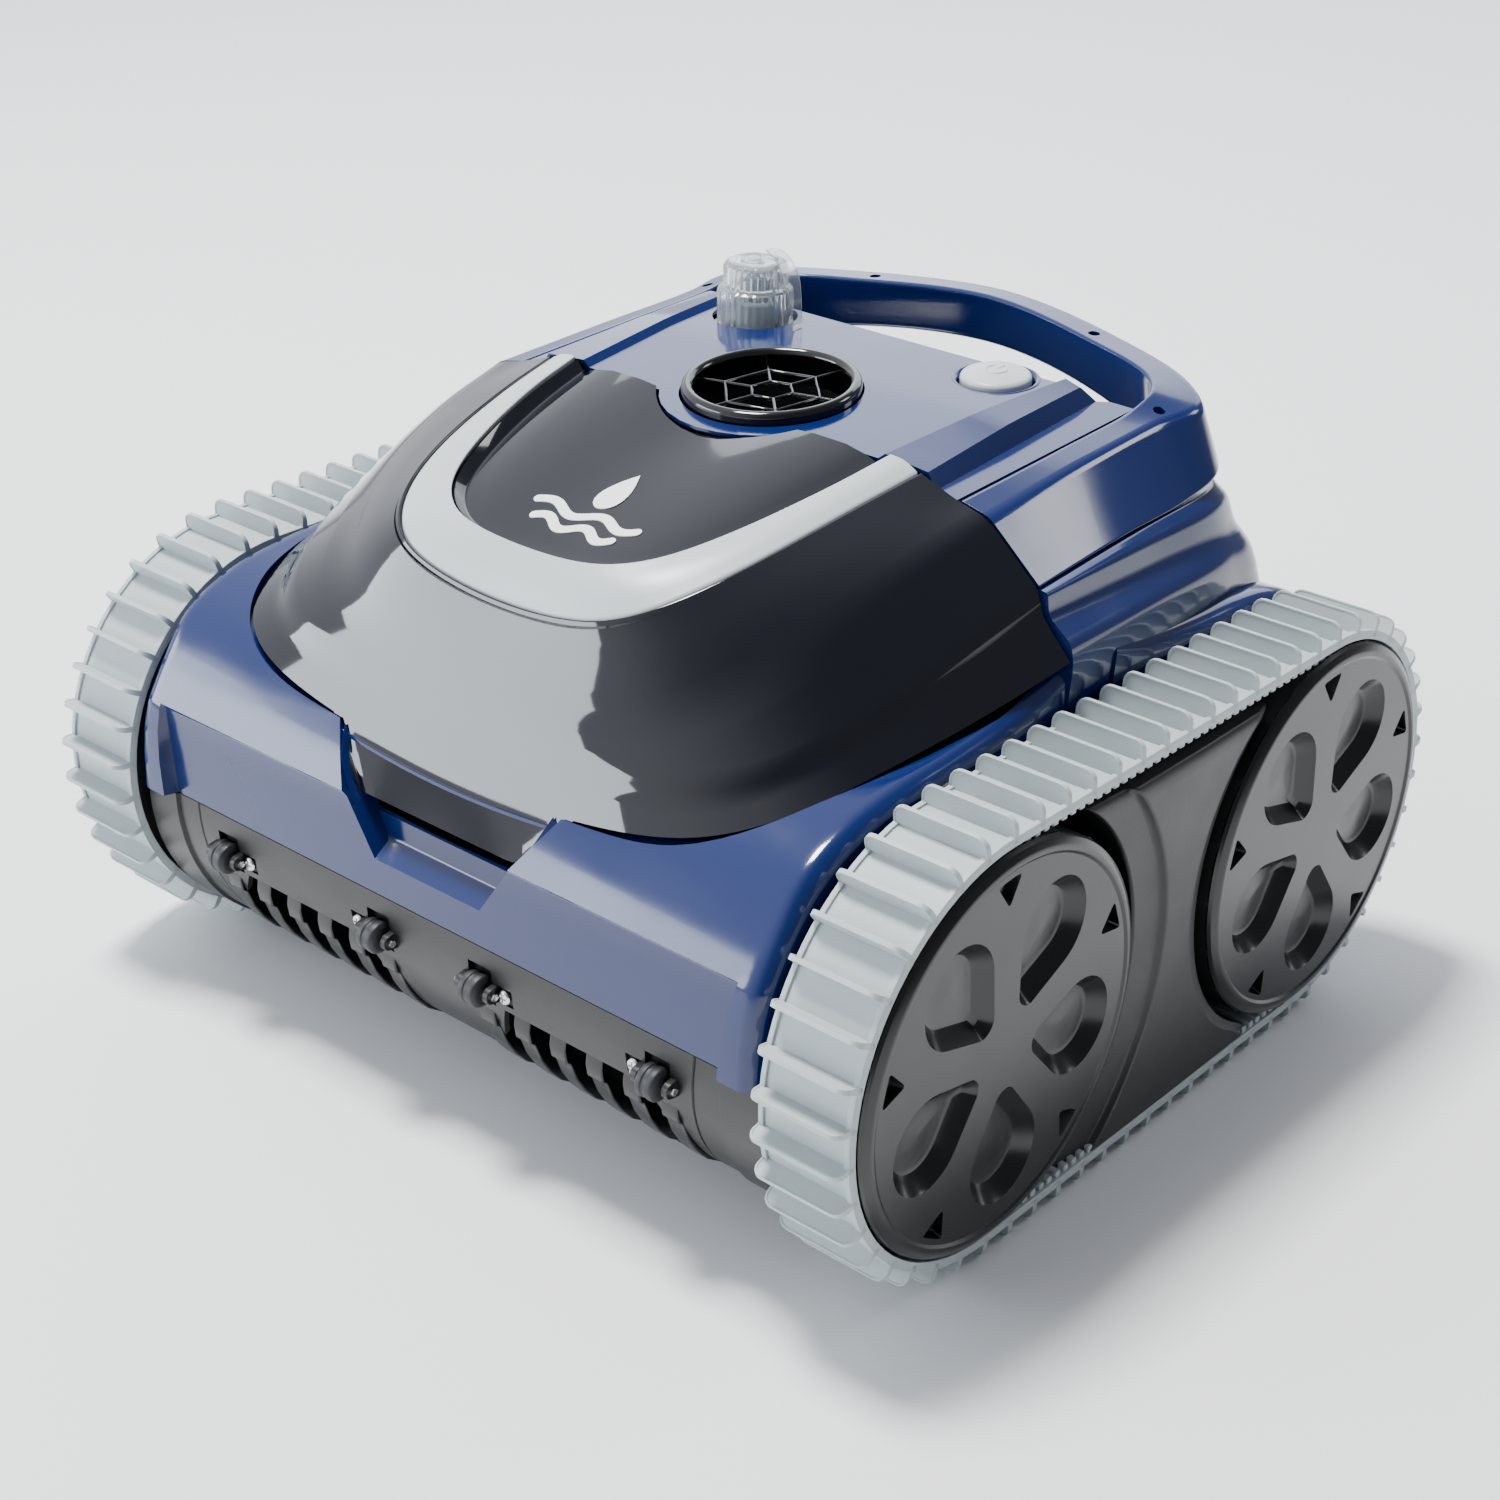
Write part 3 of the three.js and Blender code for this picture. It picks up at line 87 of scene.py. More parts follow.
# Half lines of the lid, from its rear edge round to the centre of its front.
TRIM_OUTER = [
    (102.7, -20, 267), (97, -63, 259.5), (86, -115, 247), (66, -147, 234.5), (38, -153, 227),
    (0, -153.5, 224),
]
TRIM_INNER = [
    (87, -20, 271), (80.5, -63, 263), (64, -114, 251.5), (47, -132, 246.5), (29.5, -138.5, 244.5),
    (0, -139, 243),
]
SHOULDER = [
    (121, -20, 260.4), (116, -64, 253), (105, -113, 239), (82, -151, 220), (47, -159.5, 212),
    (0, -161, 209),
]
RIDGE = [
    (136, -20, 257), (133, -65, 246), (124, -112, 228), (98, -154, 203), (55, -166, 197), (0, -168, 195)
]
CREASE = [
    (162.4, -20, 234.3), (158, -66, 222), (150, -113, 206), (124, -163, 189), (65, -172, 184),
    (0, -173, 183),
]
FLANGE_ROOT = [
    (165, -20, 224.3), (160, -66, 213), (153, -113, 201), (129, -166, 182.5), (67, -175, 176.5),
    (0, -176, 175),
]
LID_EDGE = [
    (179.5, -20, 209), (169, -67, 196.5), (165, -110, 193.5), (140, -173, 177), (75, -181, 162.5),
    (0, -184, 158),
]
TONGUE_TOP_X = 69.0
TONGUE_BOTTOM = (48.4, -190.3, 138.2)
LID_STEPS = 12

# Half lines of the rear body, lowest first, from its front edge round to the centre of its back.
TOWER_LEVELS = [
    [
        (177, -18.5, 160), (175, 60, 160), (170, 130, 160), (160, 168, 160), (120, 186, 160),
        (0, 188, 160),
    ],
    [
        (180, -18.5, 207), (173, 60, 201), (166, 125, 196), (156, 160, 191), (116, 179, 187),
        (0, 183, 185),
    ],
    [
        (178.6, -18.5, 215.5), (172, 60, 210), (164, 125, 204), (153, 158, 200), (114, 175, 196),
        (0, 178, 194),
    ],
    [
        (167, -18.5, 224.3), (163, 60, 218), (157, 130, 212), (146, 154, 209), (112, 168, 206),
        (0, 171, 204),
    ],
    [
        (165.7, -18.5, 233.6), (160, 60, 230), (153, 130, 225), (142, 151, 222), (110, 163, 219),
        (0, 166, 216),
    ],
    [
        (162, -18.5, 234.0), (155, 60, 233), (147, 130, 230.6), (136, 146, 229.4), (108, 156, 228),
        (0, 160, 226),
    ],
    [
        (150, -18.5, 233.4), (143, 60, 232.5), (136, 124, 230), (126, 138, 229), (100, 148, 227.6),
        (0, 152, 225.6),
    ],
]
TOWER_RADII = (0, 4, 4, 3, 2.5, 1, 0)

# The carrying handle: inner top edge, outer top edge and lower seam at each station.
HANDLE_PATH = [
    ((121, -18.5, 260.3), (136, -18.5, 257), (162, -18.5, 234.9)),
    ((120.4, 50, 263.4), (134, 50, 261), (156, 50, 234.4)),
    ((119.8, 100, 266), (134, 104, 263), (151.5, 104, 233)),
    ((117, 122, 269.5), (137, 132, 264.5), (147.5, 134, 236)),
    ((105, 136, 270.5), (122, 146, 268.5), (131, 153, 240)),
    ((68, 150, 273), (84, 162, 272), (88, 168, 248)),
    ((0, 163, 276.5), (0, 178, 276.5), (0, 182, 252.5)),
]
HANDLE_SCREWS = ((128.3, 112.5, 265), (62.7, 159.1, 274))


# ---------------------------------------------------------------- settings a user would change
def linear(hex_colour):
    """An sRGB hex colour as linear red, green, blue and alpha."""
    parts = [int(hex_colour[i : i + 2], 16) / 255 for i in (1, 3, 5)]
    return tuple(c / 12.92 if c <= 0.04045 else ((c + 0.055) / 1.055) ** 2.4 for c in parts) + (1.0,)


def colour_setting(name, description, hex_colour):
    return bpy.props.FloatVectorProperty(
        name=name,
        description=description,
        default=linear(hex_colour),
        subtype="COLOR",
        size=4,
        min=0,
        max=1,
    )


def size_setting(name, description, millimetres):
    return bpy.props.FloatProperty(
        name=name,
        description=description,
        default=millimetres * MM,
        subtype="DISTANCE",
        unit="LENGTH",
        min=0,
    )


class CleanerColours(bpy.types.PropertyGroup):
    shell: colour_setting("Shell", "Moulded body, deck and handle", "#0a1f55")
    lid: colour_setting("Lid", "Smoked cover over the filter bay", "#05060c")
    trim: colour_setting("Trim", "Light band round the lid panel", "#b9c0c3")
    track: colour_setting("Track", "Rubber of the two tracks", "#b0b9bb")
    skirt: colour_setting("Skirt", "End skirts and side plates", "#131314")
    black: colour_setting("Black", "Wheel covers, combs and grille", "#060607")
    emblem: colour_setting("Emblem", "Print on the lid panel", "#f4f6f7")


class CleanerSizes(bpy.types.PropertyGroup):
    shell_wall: size_setting("Shell wall", "Thickness of the moulded shells", 2.4)
    edge_round: size_setting("Edge rounding", "Rounding of the shells' cut edges", 0.8)
    paddle_root: size_setting("Paddle root", "Thickness of a track paddle at the belt", 3.0)
    paddle_tip: size_setting("Paddle tip", "Thickness of a track paddle at its tip", 1.9)
    petal_depth: size_setting("Petal depth", "Depth of the pockets in the wheel covers", 6.5)
    grille_bar: size_setting("Grille bar", "Thickness of the outlet grille's bars", 1.7)
    paddles: bpy.props.IntProperty(
        name="Paddles", description="Paddles on each track", default=PADDLE_COUNT, min=8
    )


# ---------------------------------------------------------------- curves and meshes
def run(points, stations):
    """A smooth curve through the points, read at the given stations. 0 is the first point."""
    p = np.asarray(points, float)
    p = np.vstack([2 * p[0] - p[1], p, 2 * p[-1] - p[-2]])
    out = []
    for s in stations:
        i = min(int(s), len(p) - 4)
        a, b, c, d = p[i : i + 4]
        gap = [math.sqrt(max(np.linalg.norm(v), 1e-9)) for v in (b - a, c - b, d - c)]
        t1 = gap[0]
        t2 = t1 + gap[1]
        t3 = t2 + gap[2]
        t = t1 + (s - i) * gap[1]
        ab = ((t1 - t) * a + t * b) / t1
        bc = ((t2 - t) * b + (t - t1) * c) / gap[1]
        cd = ((t3 - t) * c + (t - t2) * d) / gap[2]
        abc = ((t2 - t) * ab + t * bc) / t2
        bcd = ((t3 - t) * bc + (t - t1) * cd) / (t3 - t1)
        out.append(((t2 - t) * abc + (t - t1) * bcd) / gap[1])
    return np.array(out)


def mirrored(points):
    """Right-hand points, then the same ones again on the left in reverse."""
    return list(points) + [(-x, y, z) for x, y, z in reversed(points[:-1])]


def rounded(profile, radii, steps=4):
    """A line with each inner corner turned into a short curve, the same number of points every time."""
    p = np.asarray(profile, float)
    out = [p[0]]
    for i in range(1, len(p) - 1):
        back, ahead = p[i - 1] - p[i], p[i + 1] - p[i]
        lb, la = np.linalg.norm(back), np.linalg.norm(ahead)
        reach = min(radii[i], 0.42 * lb, 0.42 * la)
        hold = reach * 1.18
        start, end = p[i] + back / lb * reach, p[i] + ahead / la * reach
        out.append(p[i] + back / lb * hold)
        for k in range(steps + 1):
            t = k / steps
            out.append((1 - t) ** 2 * start + 2 * t * (1 - t) * p[i] + t * t * end)
        out.append(p[i] + ahead / la * hold)
    out.append(p[-1])
    return np.array(out)


def sheet(rows, wrap=False, skip=None, close=False):
    """A grid of points as vertices and faces. skip(i, j) leaves a cell open, wrap joins each row's
    ends, and close fills the first and the last row."""
    rows = np.asarray(rows, float)
    n, m = rows.shape[:2]
    faces = []
    for i in range(n - 1):
        for j in range(m if wrap else m - 1):
            if skip is None or not skip(i, j):
                k = (j + 1) % m
                faces.append((i * m + j, i * m + k, (i + 1) * m + k, (i + 1) * m + j))
    if close:
        faces.append(tuple(range(m)))
        faces.append(tuple((n - 1) * m + j for j in reversed(range(m))))
    return rows.reshape(-1, 3), faces


def joined(*shapes):
    points, faces, start = [], [], 0
    for vertices, own in shapes:
        points.append(np.asarray(vertices, float))
        faces += [tuple(start + i for i in face) for face in own]
        start += len(vertices)
    return np.vstack(points), faces


def flipped(shape, axis=0):
    """The shape mirrored across the middle, with its faces turned to match."""
    vertices, faces = shape
    vertices = np.array(vertices, float)
    vertices[:, axis] *= -1
    return vertices, [tuple(reversed(face)) for face in faces]


def moved(shape, offset):
    return np.asarray(shape[0], float) + np.asarray(offset, float), shape[1]


def lathe(profile, centre=(0, 0, 0), axis="z", sides=64, ripple=None, hoop=False):
    """A profile of (radius, height) turned about an axis. ripple(angle, index) adds to the radius. A
    hoop's profile closes on itself, so it keeps a hole through its middle."""
    rows = []
    for i, (radius, height) in enumerate(profile):
        row = []
        for k in range(sides):
            angle = 2 * math.pi * k / sides
            r = max(radius + (ripple(angle, i) if ripple else 0), 1e-4)
            a, b = r * math.cos(angle), r * math.sin(angle)
            row.append({"z": (a, b, height), "x": (height, a, b), "y": (a, height, b)}[axis])
        rows.append(row)
    if hoop:
        rows.append(rows[0])
    return moved(sheet(rows, wrap=True, close=not hoop), centre)


def share_of(value, low, high):
    """How far a value lies from low to high, kept between 0 and 1."""
    return min(max((value - low) / (high - low), 0.0), 1.0)


def prism(outline, axis, low, high):
    """An outline in the plane across the axis, drawn from low to high."""
    order = {"x": (2, 0, 1), "y": (0, 2, 1), "z": (0, 1, 2)}[axis]
    rows = [[[(a, b, c)[i] for i in order] for a, b in outline] for c in (low, high)]
    return sheet(rows, wrap=True, close=True)


def box(low, high):
    (x0, y0, z0), (x1, y1, z1) = low, high
    return prism([(x0, y0), (x1, y0), (x1, y1), (x0, y1)], "z", z0, z1)


def ring(a, b, radius, sides=48, start=0.0):
    angles = [start + 2 * math.pi * k / sides for k in range(sides)]
    return [(a + radius * math.cos(t), b + radius * math.sin(t)) for t in angles]


def baked(obj):
    """Turns the object's modifiers into its mesh."""
    bpy.context.view_layer.update()
    graph = bpy.context.evaluated_depsgraph_get()
    mesh = bpy.data.meshes.new_from_object(
        obj.evaluated_get(graph), preserve_all_data_layers=True, depsgraph=graph
    )
    obj.modifiers.clear()
    old = obj.data
    obj.data = mesh
    bpy.data.meshes.remove(old)
    return obj


def mesh_object(name, shape, inside=None):
    """An object from a shape in millimetres, its doubles merged and its faces turned outwards."""
    vertices, faces = shape
    mesh = bpy.data.meshes.new(name)
    mesh.from_pydata([tuple(v) for v in np.asarray(vertices, float) * MM], [], faces)
    bm = bmesh.new()
    bm.from_mesh(mesh)
    bmesh.ops.remove_doubles(bm, verts=bm.verts, dist=2e-6)
    bmesh.ops.dissolve_degenerate(bm, edges=bm.edges, dist=1e-6)
    bmesh.ops.recalc_face_normals(bm, faces=bm.faces)
    if inside is not None:
        point = Vector(inside) * MM
        facing = sum(f.calc_area() * f.normal.dot(f.calc_center_median() - point) for f in bm.faces)
        if facing < 0:
            bmesh.ops.reverse_faces(bm, faces=bm.faces)
    bm.to_mesh(mesh)
    bm.free()
    obj = bpy.data.objects.new(name, mesh)
    bpy.context.scene.collection.objects.link(obj)
    return obj


def shaped(name, shape, inside=None, wall=0.0, cutters=(), edge=0.0, angle=32, segments=3):
    """An object with a wall thickness, openings and rounded edges, all worked into its mesh."""
    obj = mesh_object(name, shape, inside)
    if wall:
        solid = obj.modifiers.new("wall", "SOLIDIFY")
        solid.thickness = wall * MM
        solid.offset = -1
        solid.use_even_offset = True
        solid.use_quality_normals = True
        baked(obj)
    for cutter in cutters:
        tool = mesh_object(name + "_tool", cutter)
        hole = obj.modifiers.new("hole", "BOOLEAN")
        hole.operation = "DIFFERENCE"
        hole.solver = "EXACT"
        hole.object = tool
        baked(obj)
        bpy.data.objects.remove(tool)
    if edge:
        bevel = obj.modifiers.new("edge", "BEVEL")
        bevel.width = edge * MM
        bevel.segments = segments
        bevel.limit_method = "ANGLE"
        bevel.angle_limit = math.radians(angle)
        bevel.harden_normals = False
        baked(obj)
    smooth(obj, angle)
    return obj


def smooth(obj, angle):
    """Smooth shading that keeps large flat faces flat."""
    obj.data.shade_smooth()
    obj.data.set_sharp_from_angle(angle=math.radians(angle))
    weighted = obj.modifiers.new("weighted", "WEIGHTED_NORMAL")
    weighted.keep_sharp = True
    weighted.weight = 60
    baked(obj)


def placed(obj, body, material, slot, *replaces):
    """Gives a finished piece its material, its body and the working pieces that it stands for."""
    obj.data.materials.clear()
    obj.data.materials.append(material)
    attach(obj, body)
    if replaces:
        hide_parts(*replaces)
    return obj


# ---------------------------------------------------------------- materials
def node(tree, kind, inputs=None, **settings):
    """Adds one node, sets its settings, and sets or links its inputs."""
    made = tree.nodes.new(kind)
    for name, value in settings.items():
        setattr(made, name, value)
    for key, value in (inputs or {}).items():
        socket = made.inputs[key]
        if isinstance(value, bpy.types.NodeSocket):
            tree.links.new(value, socket)
        else:
            socket.default_value = value
    return made


def start_material(name):
    """A fresh material with its tree emptied, and its object coordinates."""
    material = bpy.data.materials.new(name)
    material.use_nodes = True
    tree = material.node_tree
    tree.nodes.clear()
    return material, tree, node(tree, "ShaderNodeTexCoord").outputs["Object"]


def end_material(tree, shader):
    node(tree, "ShaderNodeOutputMaterial", {"Surface": shader.outputs[0]})


MIDDLE = {"From Min": 0.3, "From Max": 0.7}  # the range that most of a noise pattern lies in


def per_metre(millimetres):
    """Texture scale that repeats a pattern about every so many millimetres."""
    return 1000.0 / millimetres


def gloss_moulding(name, colour, roughness, coat, ripple_mm, tint):
    """Injection-moulded gloss plastic: deep even colour, the soft waviness of a moulded skin in its
    reflections, and faint handling haze that breaks the gloss up."""
    material, tree, where = start_material(name)
    haze = node(
        tree, "ShaderNodeTexNoise",
        {"Vector": where, "Scale": per_metre(60), "Detail": 4.0, "Roughness": 0.6},
    )
    haze_range = node(
        tree,
        "ShaderNodeMapRange",
        {"Value": haze.outputs["Fac"], **MIDDLE, "To Min": roughness * 0.75, "To Max": roughness * 1.35},
    )
    shade = node(tree, "ShaderNodeTexNoise", {"Vector": where, "Scale": per_metre(110), "Detail": 2.0})
    tinted = tuple(min(c * t, 1) for c, t in zip(colour[:3], tint)) + (1.0,)
    mixed = node(
        tree, "ShaderNodeMix", {0: shade.outputs["Fac"], 6: colour, 7: tinted}, data_type="RGBA"
    )
    ripple = node(
        tree, "ShaderNodeTexNoise", {"Vector": where, "Scale": per_metre(ripple_mm), "Detail": 1.0}
    )
    bump = node(
        tree, "ShaderNodeBump", {"Height": ripple.outputs["Fac"], "Strength": 0.06, "Distance": 0.0008}
    )
    shader = node(
        tree,
        "ShaderNodeBsdfPrincipled",
        {
            "Base Color": mixed.outputs[2],
            "Roughness": haze_range.outputs["Result"],
            "IOR": 1.53,
            "Normal": bump.outputs["Normal"],
            "Coat Weight": coat,
            "Coat Roughness": 0.03,
        },
    )
    end_material(tree, shader)
    return material


def satin_moulding(name, colour, roughness, grain_mm, relief, subsurface=0.0):
    """Fine-textured moulded plastic or rubber: a spark-eroded grain, slightly uneven sheen and tone."""
    material, tree, where = start_material(name)
    grain = node(
        tree, "ShaderNodeTexNoise",
        {"Vector": where, "Scale": per_metre(grain_mm), "Detail": 3.0, "Roughness": 0.55},
    )
    cells = node(tree, "ShaderNodeTexVoronoi", {"Vector": where, "Scale": per_metre(grain_mm * 1.7)})
    height = node(
        tree, "ShaderNodeMath", {0: grain.outputs["Fac"], 1: cells.outputs["Distance"]}, operation="ADD"
    )
    bump = node(
        tree, "ShaderNodeBump", {"Height": height.outputs[0], "Strength": relief, "Distance": 0.0002}
    )
    patches = node(
        tree, "ShaderNodeTexNoise",
        {"Vector": where, "Scale": per_metre(45), "Detail": 5.0, "Roughness": 0.62},
    )
    dull = {"To Min": roughness * 0.88, "To Max": min(roughness * 1.14, 1)}
    sheen = node(tree, "ShaderNodeMapRange", {"Value": patches.outputs["Fac"], **MIDDLE, **dull})
    darker, lighter = (tuple(min(c * share, 1) for c in colour[:3]) + (1.0,) for share in (0.93, 1.05))
    tone = node(
        tree, "ShaderNodeMix", {0: patches.outputs["Fac"], 6: darker, 7: lighter}, data_type="RGBA"
    )
    shader = node(
        tree,
        "ShaderNodeBsdfPrincipled",
        {
            "Base Color": tone.outputs[2],
            "Roughness": sheen.outputs["Result"],
            "IOR": 1.5,
            "Normal": bump.outputs["Normal"],
            "Subsurface Weight": subsurface,
            "Subsurface Radius": (0.002, 0.002, 0.002),
        },
    )
    end_material(tree, shader)
    return material


def turned_steel(name, colour, roughness):
    """Passivated stainless steel: a faint turned texture and a bright clean shine."""
    material, tree, where = start_material(name)
    lines = node(tree, "ShaderNodeTexNoise", {"Vector": where, "Scale": per_metre(0.6), "Detail": 2.0})
    dull = {"To Min": roughness * 0.7, "To Max": roughness * 1.4}
    shine = node(tree, "ShaderNodeMapRange", {"Value": lines.outputs["Fac"], **MIDDLE, **dull})
    shader = node(
        tree, "ShaderNodeBsdfPrincipled", {
            "Base Color": colour, "Metallic": 1.0, "Roughness": shine.outputs["Result"]
        }
    )
    end_material(tree, shader)
    return material


def clear_moulding(name):
    """Clear moulded polycarbonate: glassy, with faint flow marks, whitish where its walls stack up."""
    material, tree, where = start_material(name)
    flow = node(tree, "ShaderNodeTexNoise", {"Vector": where, "Scale": per_metre(9), "Detail": 1.0})
    bump = node(
        tree, "ShaderNodeBump", {"Height": flow.outputs["Fac"], "Strength": 0.08, "Distance": 0.0006}
    )
    dull = {"To Min": 0.03, "To Max": 0.09}
    haze = node(tree, "ShaderNodeMapRange", {"Value": flow.outputs["Fac"], **MIDDLE, **dull})
    shader = node(
        tree,
        "ShaderNodeBsdfPrincipled",
        {
            "Base Color": linear("#f2f6f8"),
            "Roughness": haze.outputs["Result"],
            "IOR": 1.46,
            "Transmission Weight": 0.86,
            "Normal": bump.outputs["Normal"],
        },
    )
    end_material(tree, shader)
    return material


def circuit_laminate(name):
    """Solder-masked circuit board: green lacquer over a grid of fine tracks."""
    material, tree, where = start_material(name)
    grid = node(tree, "ShaderNodeTexBrick",
        {"Vector": where, "Scale": per_metre(6), "Color1": linear("#1f6b45"),
        "Color2": linear("#1a5f3d"), "Mortar": linear("#3f9a66")})
    shader = node(
        tree, "ShaderNodeBsdfPrincipled",
        {"Base Color": grid.outputs["Color"], "Roughness": 0.35, "IOR": 1.5},
    )
    end_material(tree, shader)
    return material


def make_finishes(colours):
    """Every finish on the machine, by name."""
    return {
        # Gloss ABS, colour right through: mirror-like highlights with a soft orange-peel waver.
        "navy": gloss_moulding(
            "Navy gloss ABS", tuple(colours.shell), 0.13, 0.15, 26, (0.86, 0.9, 0.94)
        ),
        # Smoked polycarbonate over a dark bay: almost black, with a blue cast and sharp reflections.
        "smoke": gloss_moulding(
            "Smoked polycarbonate", tuple(colours.lid), 0.06, 0.25, 60, (1.5, 1.5, 2.2)
        ),
        # Satin-painted ABS: even light grey with a broad soft highlight.
        "trim": satin_moulding("Light grey satin ABS", tuple(colours.trim), 0.34, 0.7, 0.05),
        # Thermoplastic rubber: matt, a little translucent at thin edges.
        "track": satin_moulding(
            "Grey thermoplastic rubber", tuple(colours.track), 0.52, 1.1, 0.14, 0.08
        ),
        # Textured ABS: charcoal with fine spark-eroded grain.
        "skirt": satin_moulding("Charcoal textured ABS", tuple(colours.skirt), 0.4, 0.8, 0.12),
        # Black ABS with a moulded semi-gloss.
        "black": satin_moulding("Black semi-gloss ABS", tuple(colours.black), 0.24, 1.6, 0.05),
        "gloss_black": gloss_moulding(
            "Black gloss ABS", tuple(colours.black), 0.1, 0.3, 18, (0.9, 0.9, 0.9)
        ),
        "deep_black": satin_moulding("Black filled nylon", linear("#0c0d0e"), 0.5, 0.9, 0.15),
        "rubber": satin_moulding("Black moulded rubber", linear("#232528"), 0.5, 0.9, 0.2),
        "steel": turned_steel("Stainless steel", linear("#d5d6d8"), 0.2),
        "motor": satin_moulding("Zinc-plated motor can", linear("#7f8488"), 0.35, 1.2, 0.1),
        "clear": clear_moulding("Clear polycarbonate"),
        "basket": satin_moulding("Grey polypropylene", linear("#8f979b"), 0.48, 1.0, 0.1, 0.04),
        "board": circuit_laminate("Solder-masked laminate"),
        "wrap": satin_moulding("Blue heat-shrink wrap", linear("#2a4f9c"), 0.3, 2.5, 0.1),
        "emblem": satin_moulding("White pad print", tuple(colours.emblem), 0.38, 0.9, 0.04),
    }


FINISHES = {}


# ---------------------------------------------------------------- repeated pieces
def start_tree(name, **inputs):
    """A fresh node tree for geometry, and the outputs of its input node. Each input is Name=kind."""
    tree = bpy.data.node_groups.new(name, "GeometryNodeTree")
    for socket, kind in {"Geometry": "Geometry", **inputs}.items():
        tree.interface.new_socket(socket, in_out="INPUT", socket_type="NodeSocket" + kind)
    tree.interface.new_socket("Geometry", in_out="OUTPUT", socket_type="NodeSocketGeometry")
    return tree, node(tree, "NodeGroupInput").outputs


def end_tree(tree, geometry, finish):
    """Gives the tree's result its material and sends it out."""
    coated = node(tree, "GeometryNodeSetMaterial", {"Geometry": geometry, "Material": finish})
    node(tree, "NodeGroupOutput", {"Geometry": coated.outputs["Geometry"]})
    return tree


def repeat_tree(name):
    """A node tree that sets pieces evenly along the object's edges, turned about X to follow them if
    asked."""
    tree, given = start_tree(name, Piece="Object", Count="Int", Follow="Bool", Finish="Material")
    curve = node(tree, "GeometryNodeMeshToCurve", {"Mesh": given["Geometry"]})
    even = node(
        tree, "GeometryNodeResampleCurve", {"Curve": curve.outputs["Curve"], "Count": given["Count"]}
    )
    tangent = node(tree, "GeometryNodeInputTangent")
    turn = node(
        tree,
        "FunctionNodeAlignRotationToVector",
        {"Vector": tangent.outputs["Tangent"]},
        axis="Y",
        pivot_axis="X",
    )
    facing = node(
        tree,
        "GeometryNodeSwitch",
        {"Switch": given["Follow"], "True": turn.outputs["Rotation"]},
        input_type="ROTATION",
    )
    source = node(tree, "GeometryNodeObjectInfo", {"Object": given["Piece"]}, transform_space="ORIGINAL")
    copies = node(
        tree,
        "GeometryNodeInstanceOnPoints",
        {
            "Points": even.outputs["Curve"],
            "Instance": source.outputs["Geometry"],
            "Rotation": facing.outputs["Output"],
        },
    )
    real = node(tree, "GeometryNodeRealizeInstances", {"Geometry": copies.outputs["Instances"]})
    return end_tree(tree, real.outputs["Geometry"], given["Finish"])


def sweep_tree(name):
    """A node tree that turns the object's edges into round bars of one radius."""
    tree, given = start_tree(name, Radius="Float", Finish="Material")
    curve = node(tree, "GeometryNodeMeshToCurve", {"Mesh": given["Geometry"]})
    profile = node(
        tree, "GeometryNodeCurvePrimitiveCircle", {"Resolution": 12, "Radius": given["Radius"]}
    )
    bars = node(
        tree,
        "GeometryNodeCurveToMesh",
        {"Curve": curve.outputs["Curve"], "Profile Curve": profile.outputs["Curve"], "Fill Caps": True},
    )
    real = node(tree, "GeometryNodeRealizeInstances", {"Geometry": bars.outputs["Mesh"]})
    soft = node(tree, "GeometryNodeSetShadeSmooth", {"Geometry": real.outputs["Geometry"]})
    return end_tree(tree, soft.outputs["Geometry"], given["Finish"])


def run_tree(name, lines, tree, **inputs):
    """Makes an object of edges in millimetres, runs a node tree on it and keeps the result as a mesh.
    Each line is (points, closed)."""
    points, edges = [], []
    for line, closed in lines:
        start = len(points)
        points += [tuple(c * MM for c in p) for p in line]
        edges += [(start + i, start + i + 1) for i in range(len(line) - 1)]
        if closed:
            edges.append((start + len(line) - 1, start))
    mesh = bpy.data.meshes.new(name)
    mesh.from_pydata(points, edges, [])
    obj = bpy.data.objects.new(name, mesh)
    bpy.context.scene.collection.objects.link(obj)
    modifier = obj.modifiers.new("nodes", "NODES")
    modifier.node_group = tree
    for item in tree.interface.items_tree:
        if item.item_type == "SOCKET" and item.in_out == "INPUT" and item.name in inputs:
            modifier[item.identifier] = inputs[item.name]
    baked(obj)
    return obj


def repeated(name, lines, template, count, finish, follow=False):
    """Copies of a template along the lines, turned to follow them if asked. The template is used up."""
    tree = bpy.data.node_groups.get("Repeat along lines") or repeat_tree("Repeat along lines")
    obj = run_tree(name, lines, tree, Piece=template, Count=count, Finish=finish, Follow=follow)
    bpy.data.objects.remove(template)
    return obj


def bars(name, lines, radius, finish):
    tree = bpy.data.node_groups.get("Round bars") or sweep_tree("Round bars")
    return run_tree(name, lines, tree, Radius=radius * MM, Finish=finish)


def merged(name, *objects):
    """One object from several, their places already in their meshes."""
    keep = objects[0]
    bm = bmesh.new()
    for obj in objects:
        bm.from_mesh(obj.data)
    bm.to_mesh(keep.data)
    bm.free()
    for obj in objects[1:]:
        bpy.data.objects.remove(obj)
    keep.name = name
    return keep


# ---------------------------------------------------------------- the lid
def inset(line, by, drop):
    """A lid line drawn in towards the middle of the lid's rear edge, and lowered."""
    p = np.array(line, float)
    length = np.maximum(np.hypot(p[:, 0], p[:, 1] - LID_REAR_Y), 1.0)
    return np.stack(
        [p[:, 0] * (1 - by / length), p[:, 1] - (p[:, 1] - LID_REAR_Y) / length * by,
            p[:, 2] - drop], axis=1
    )


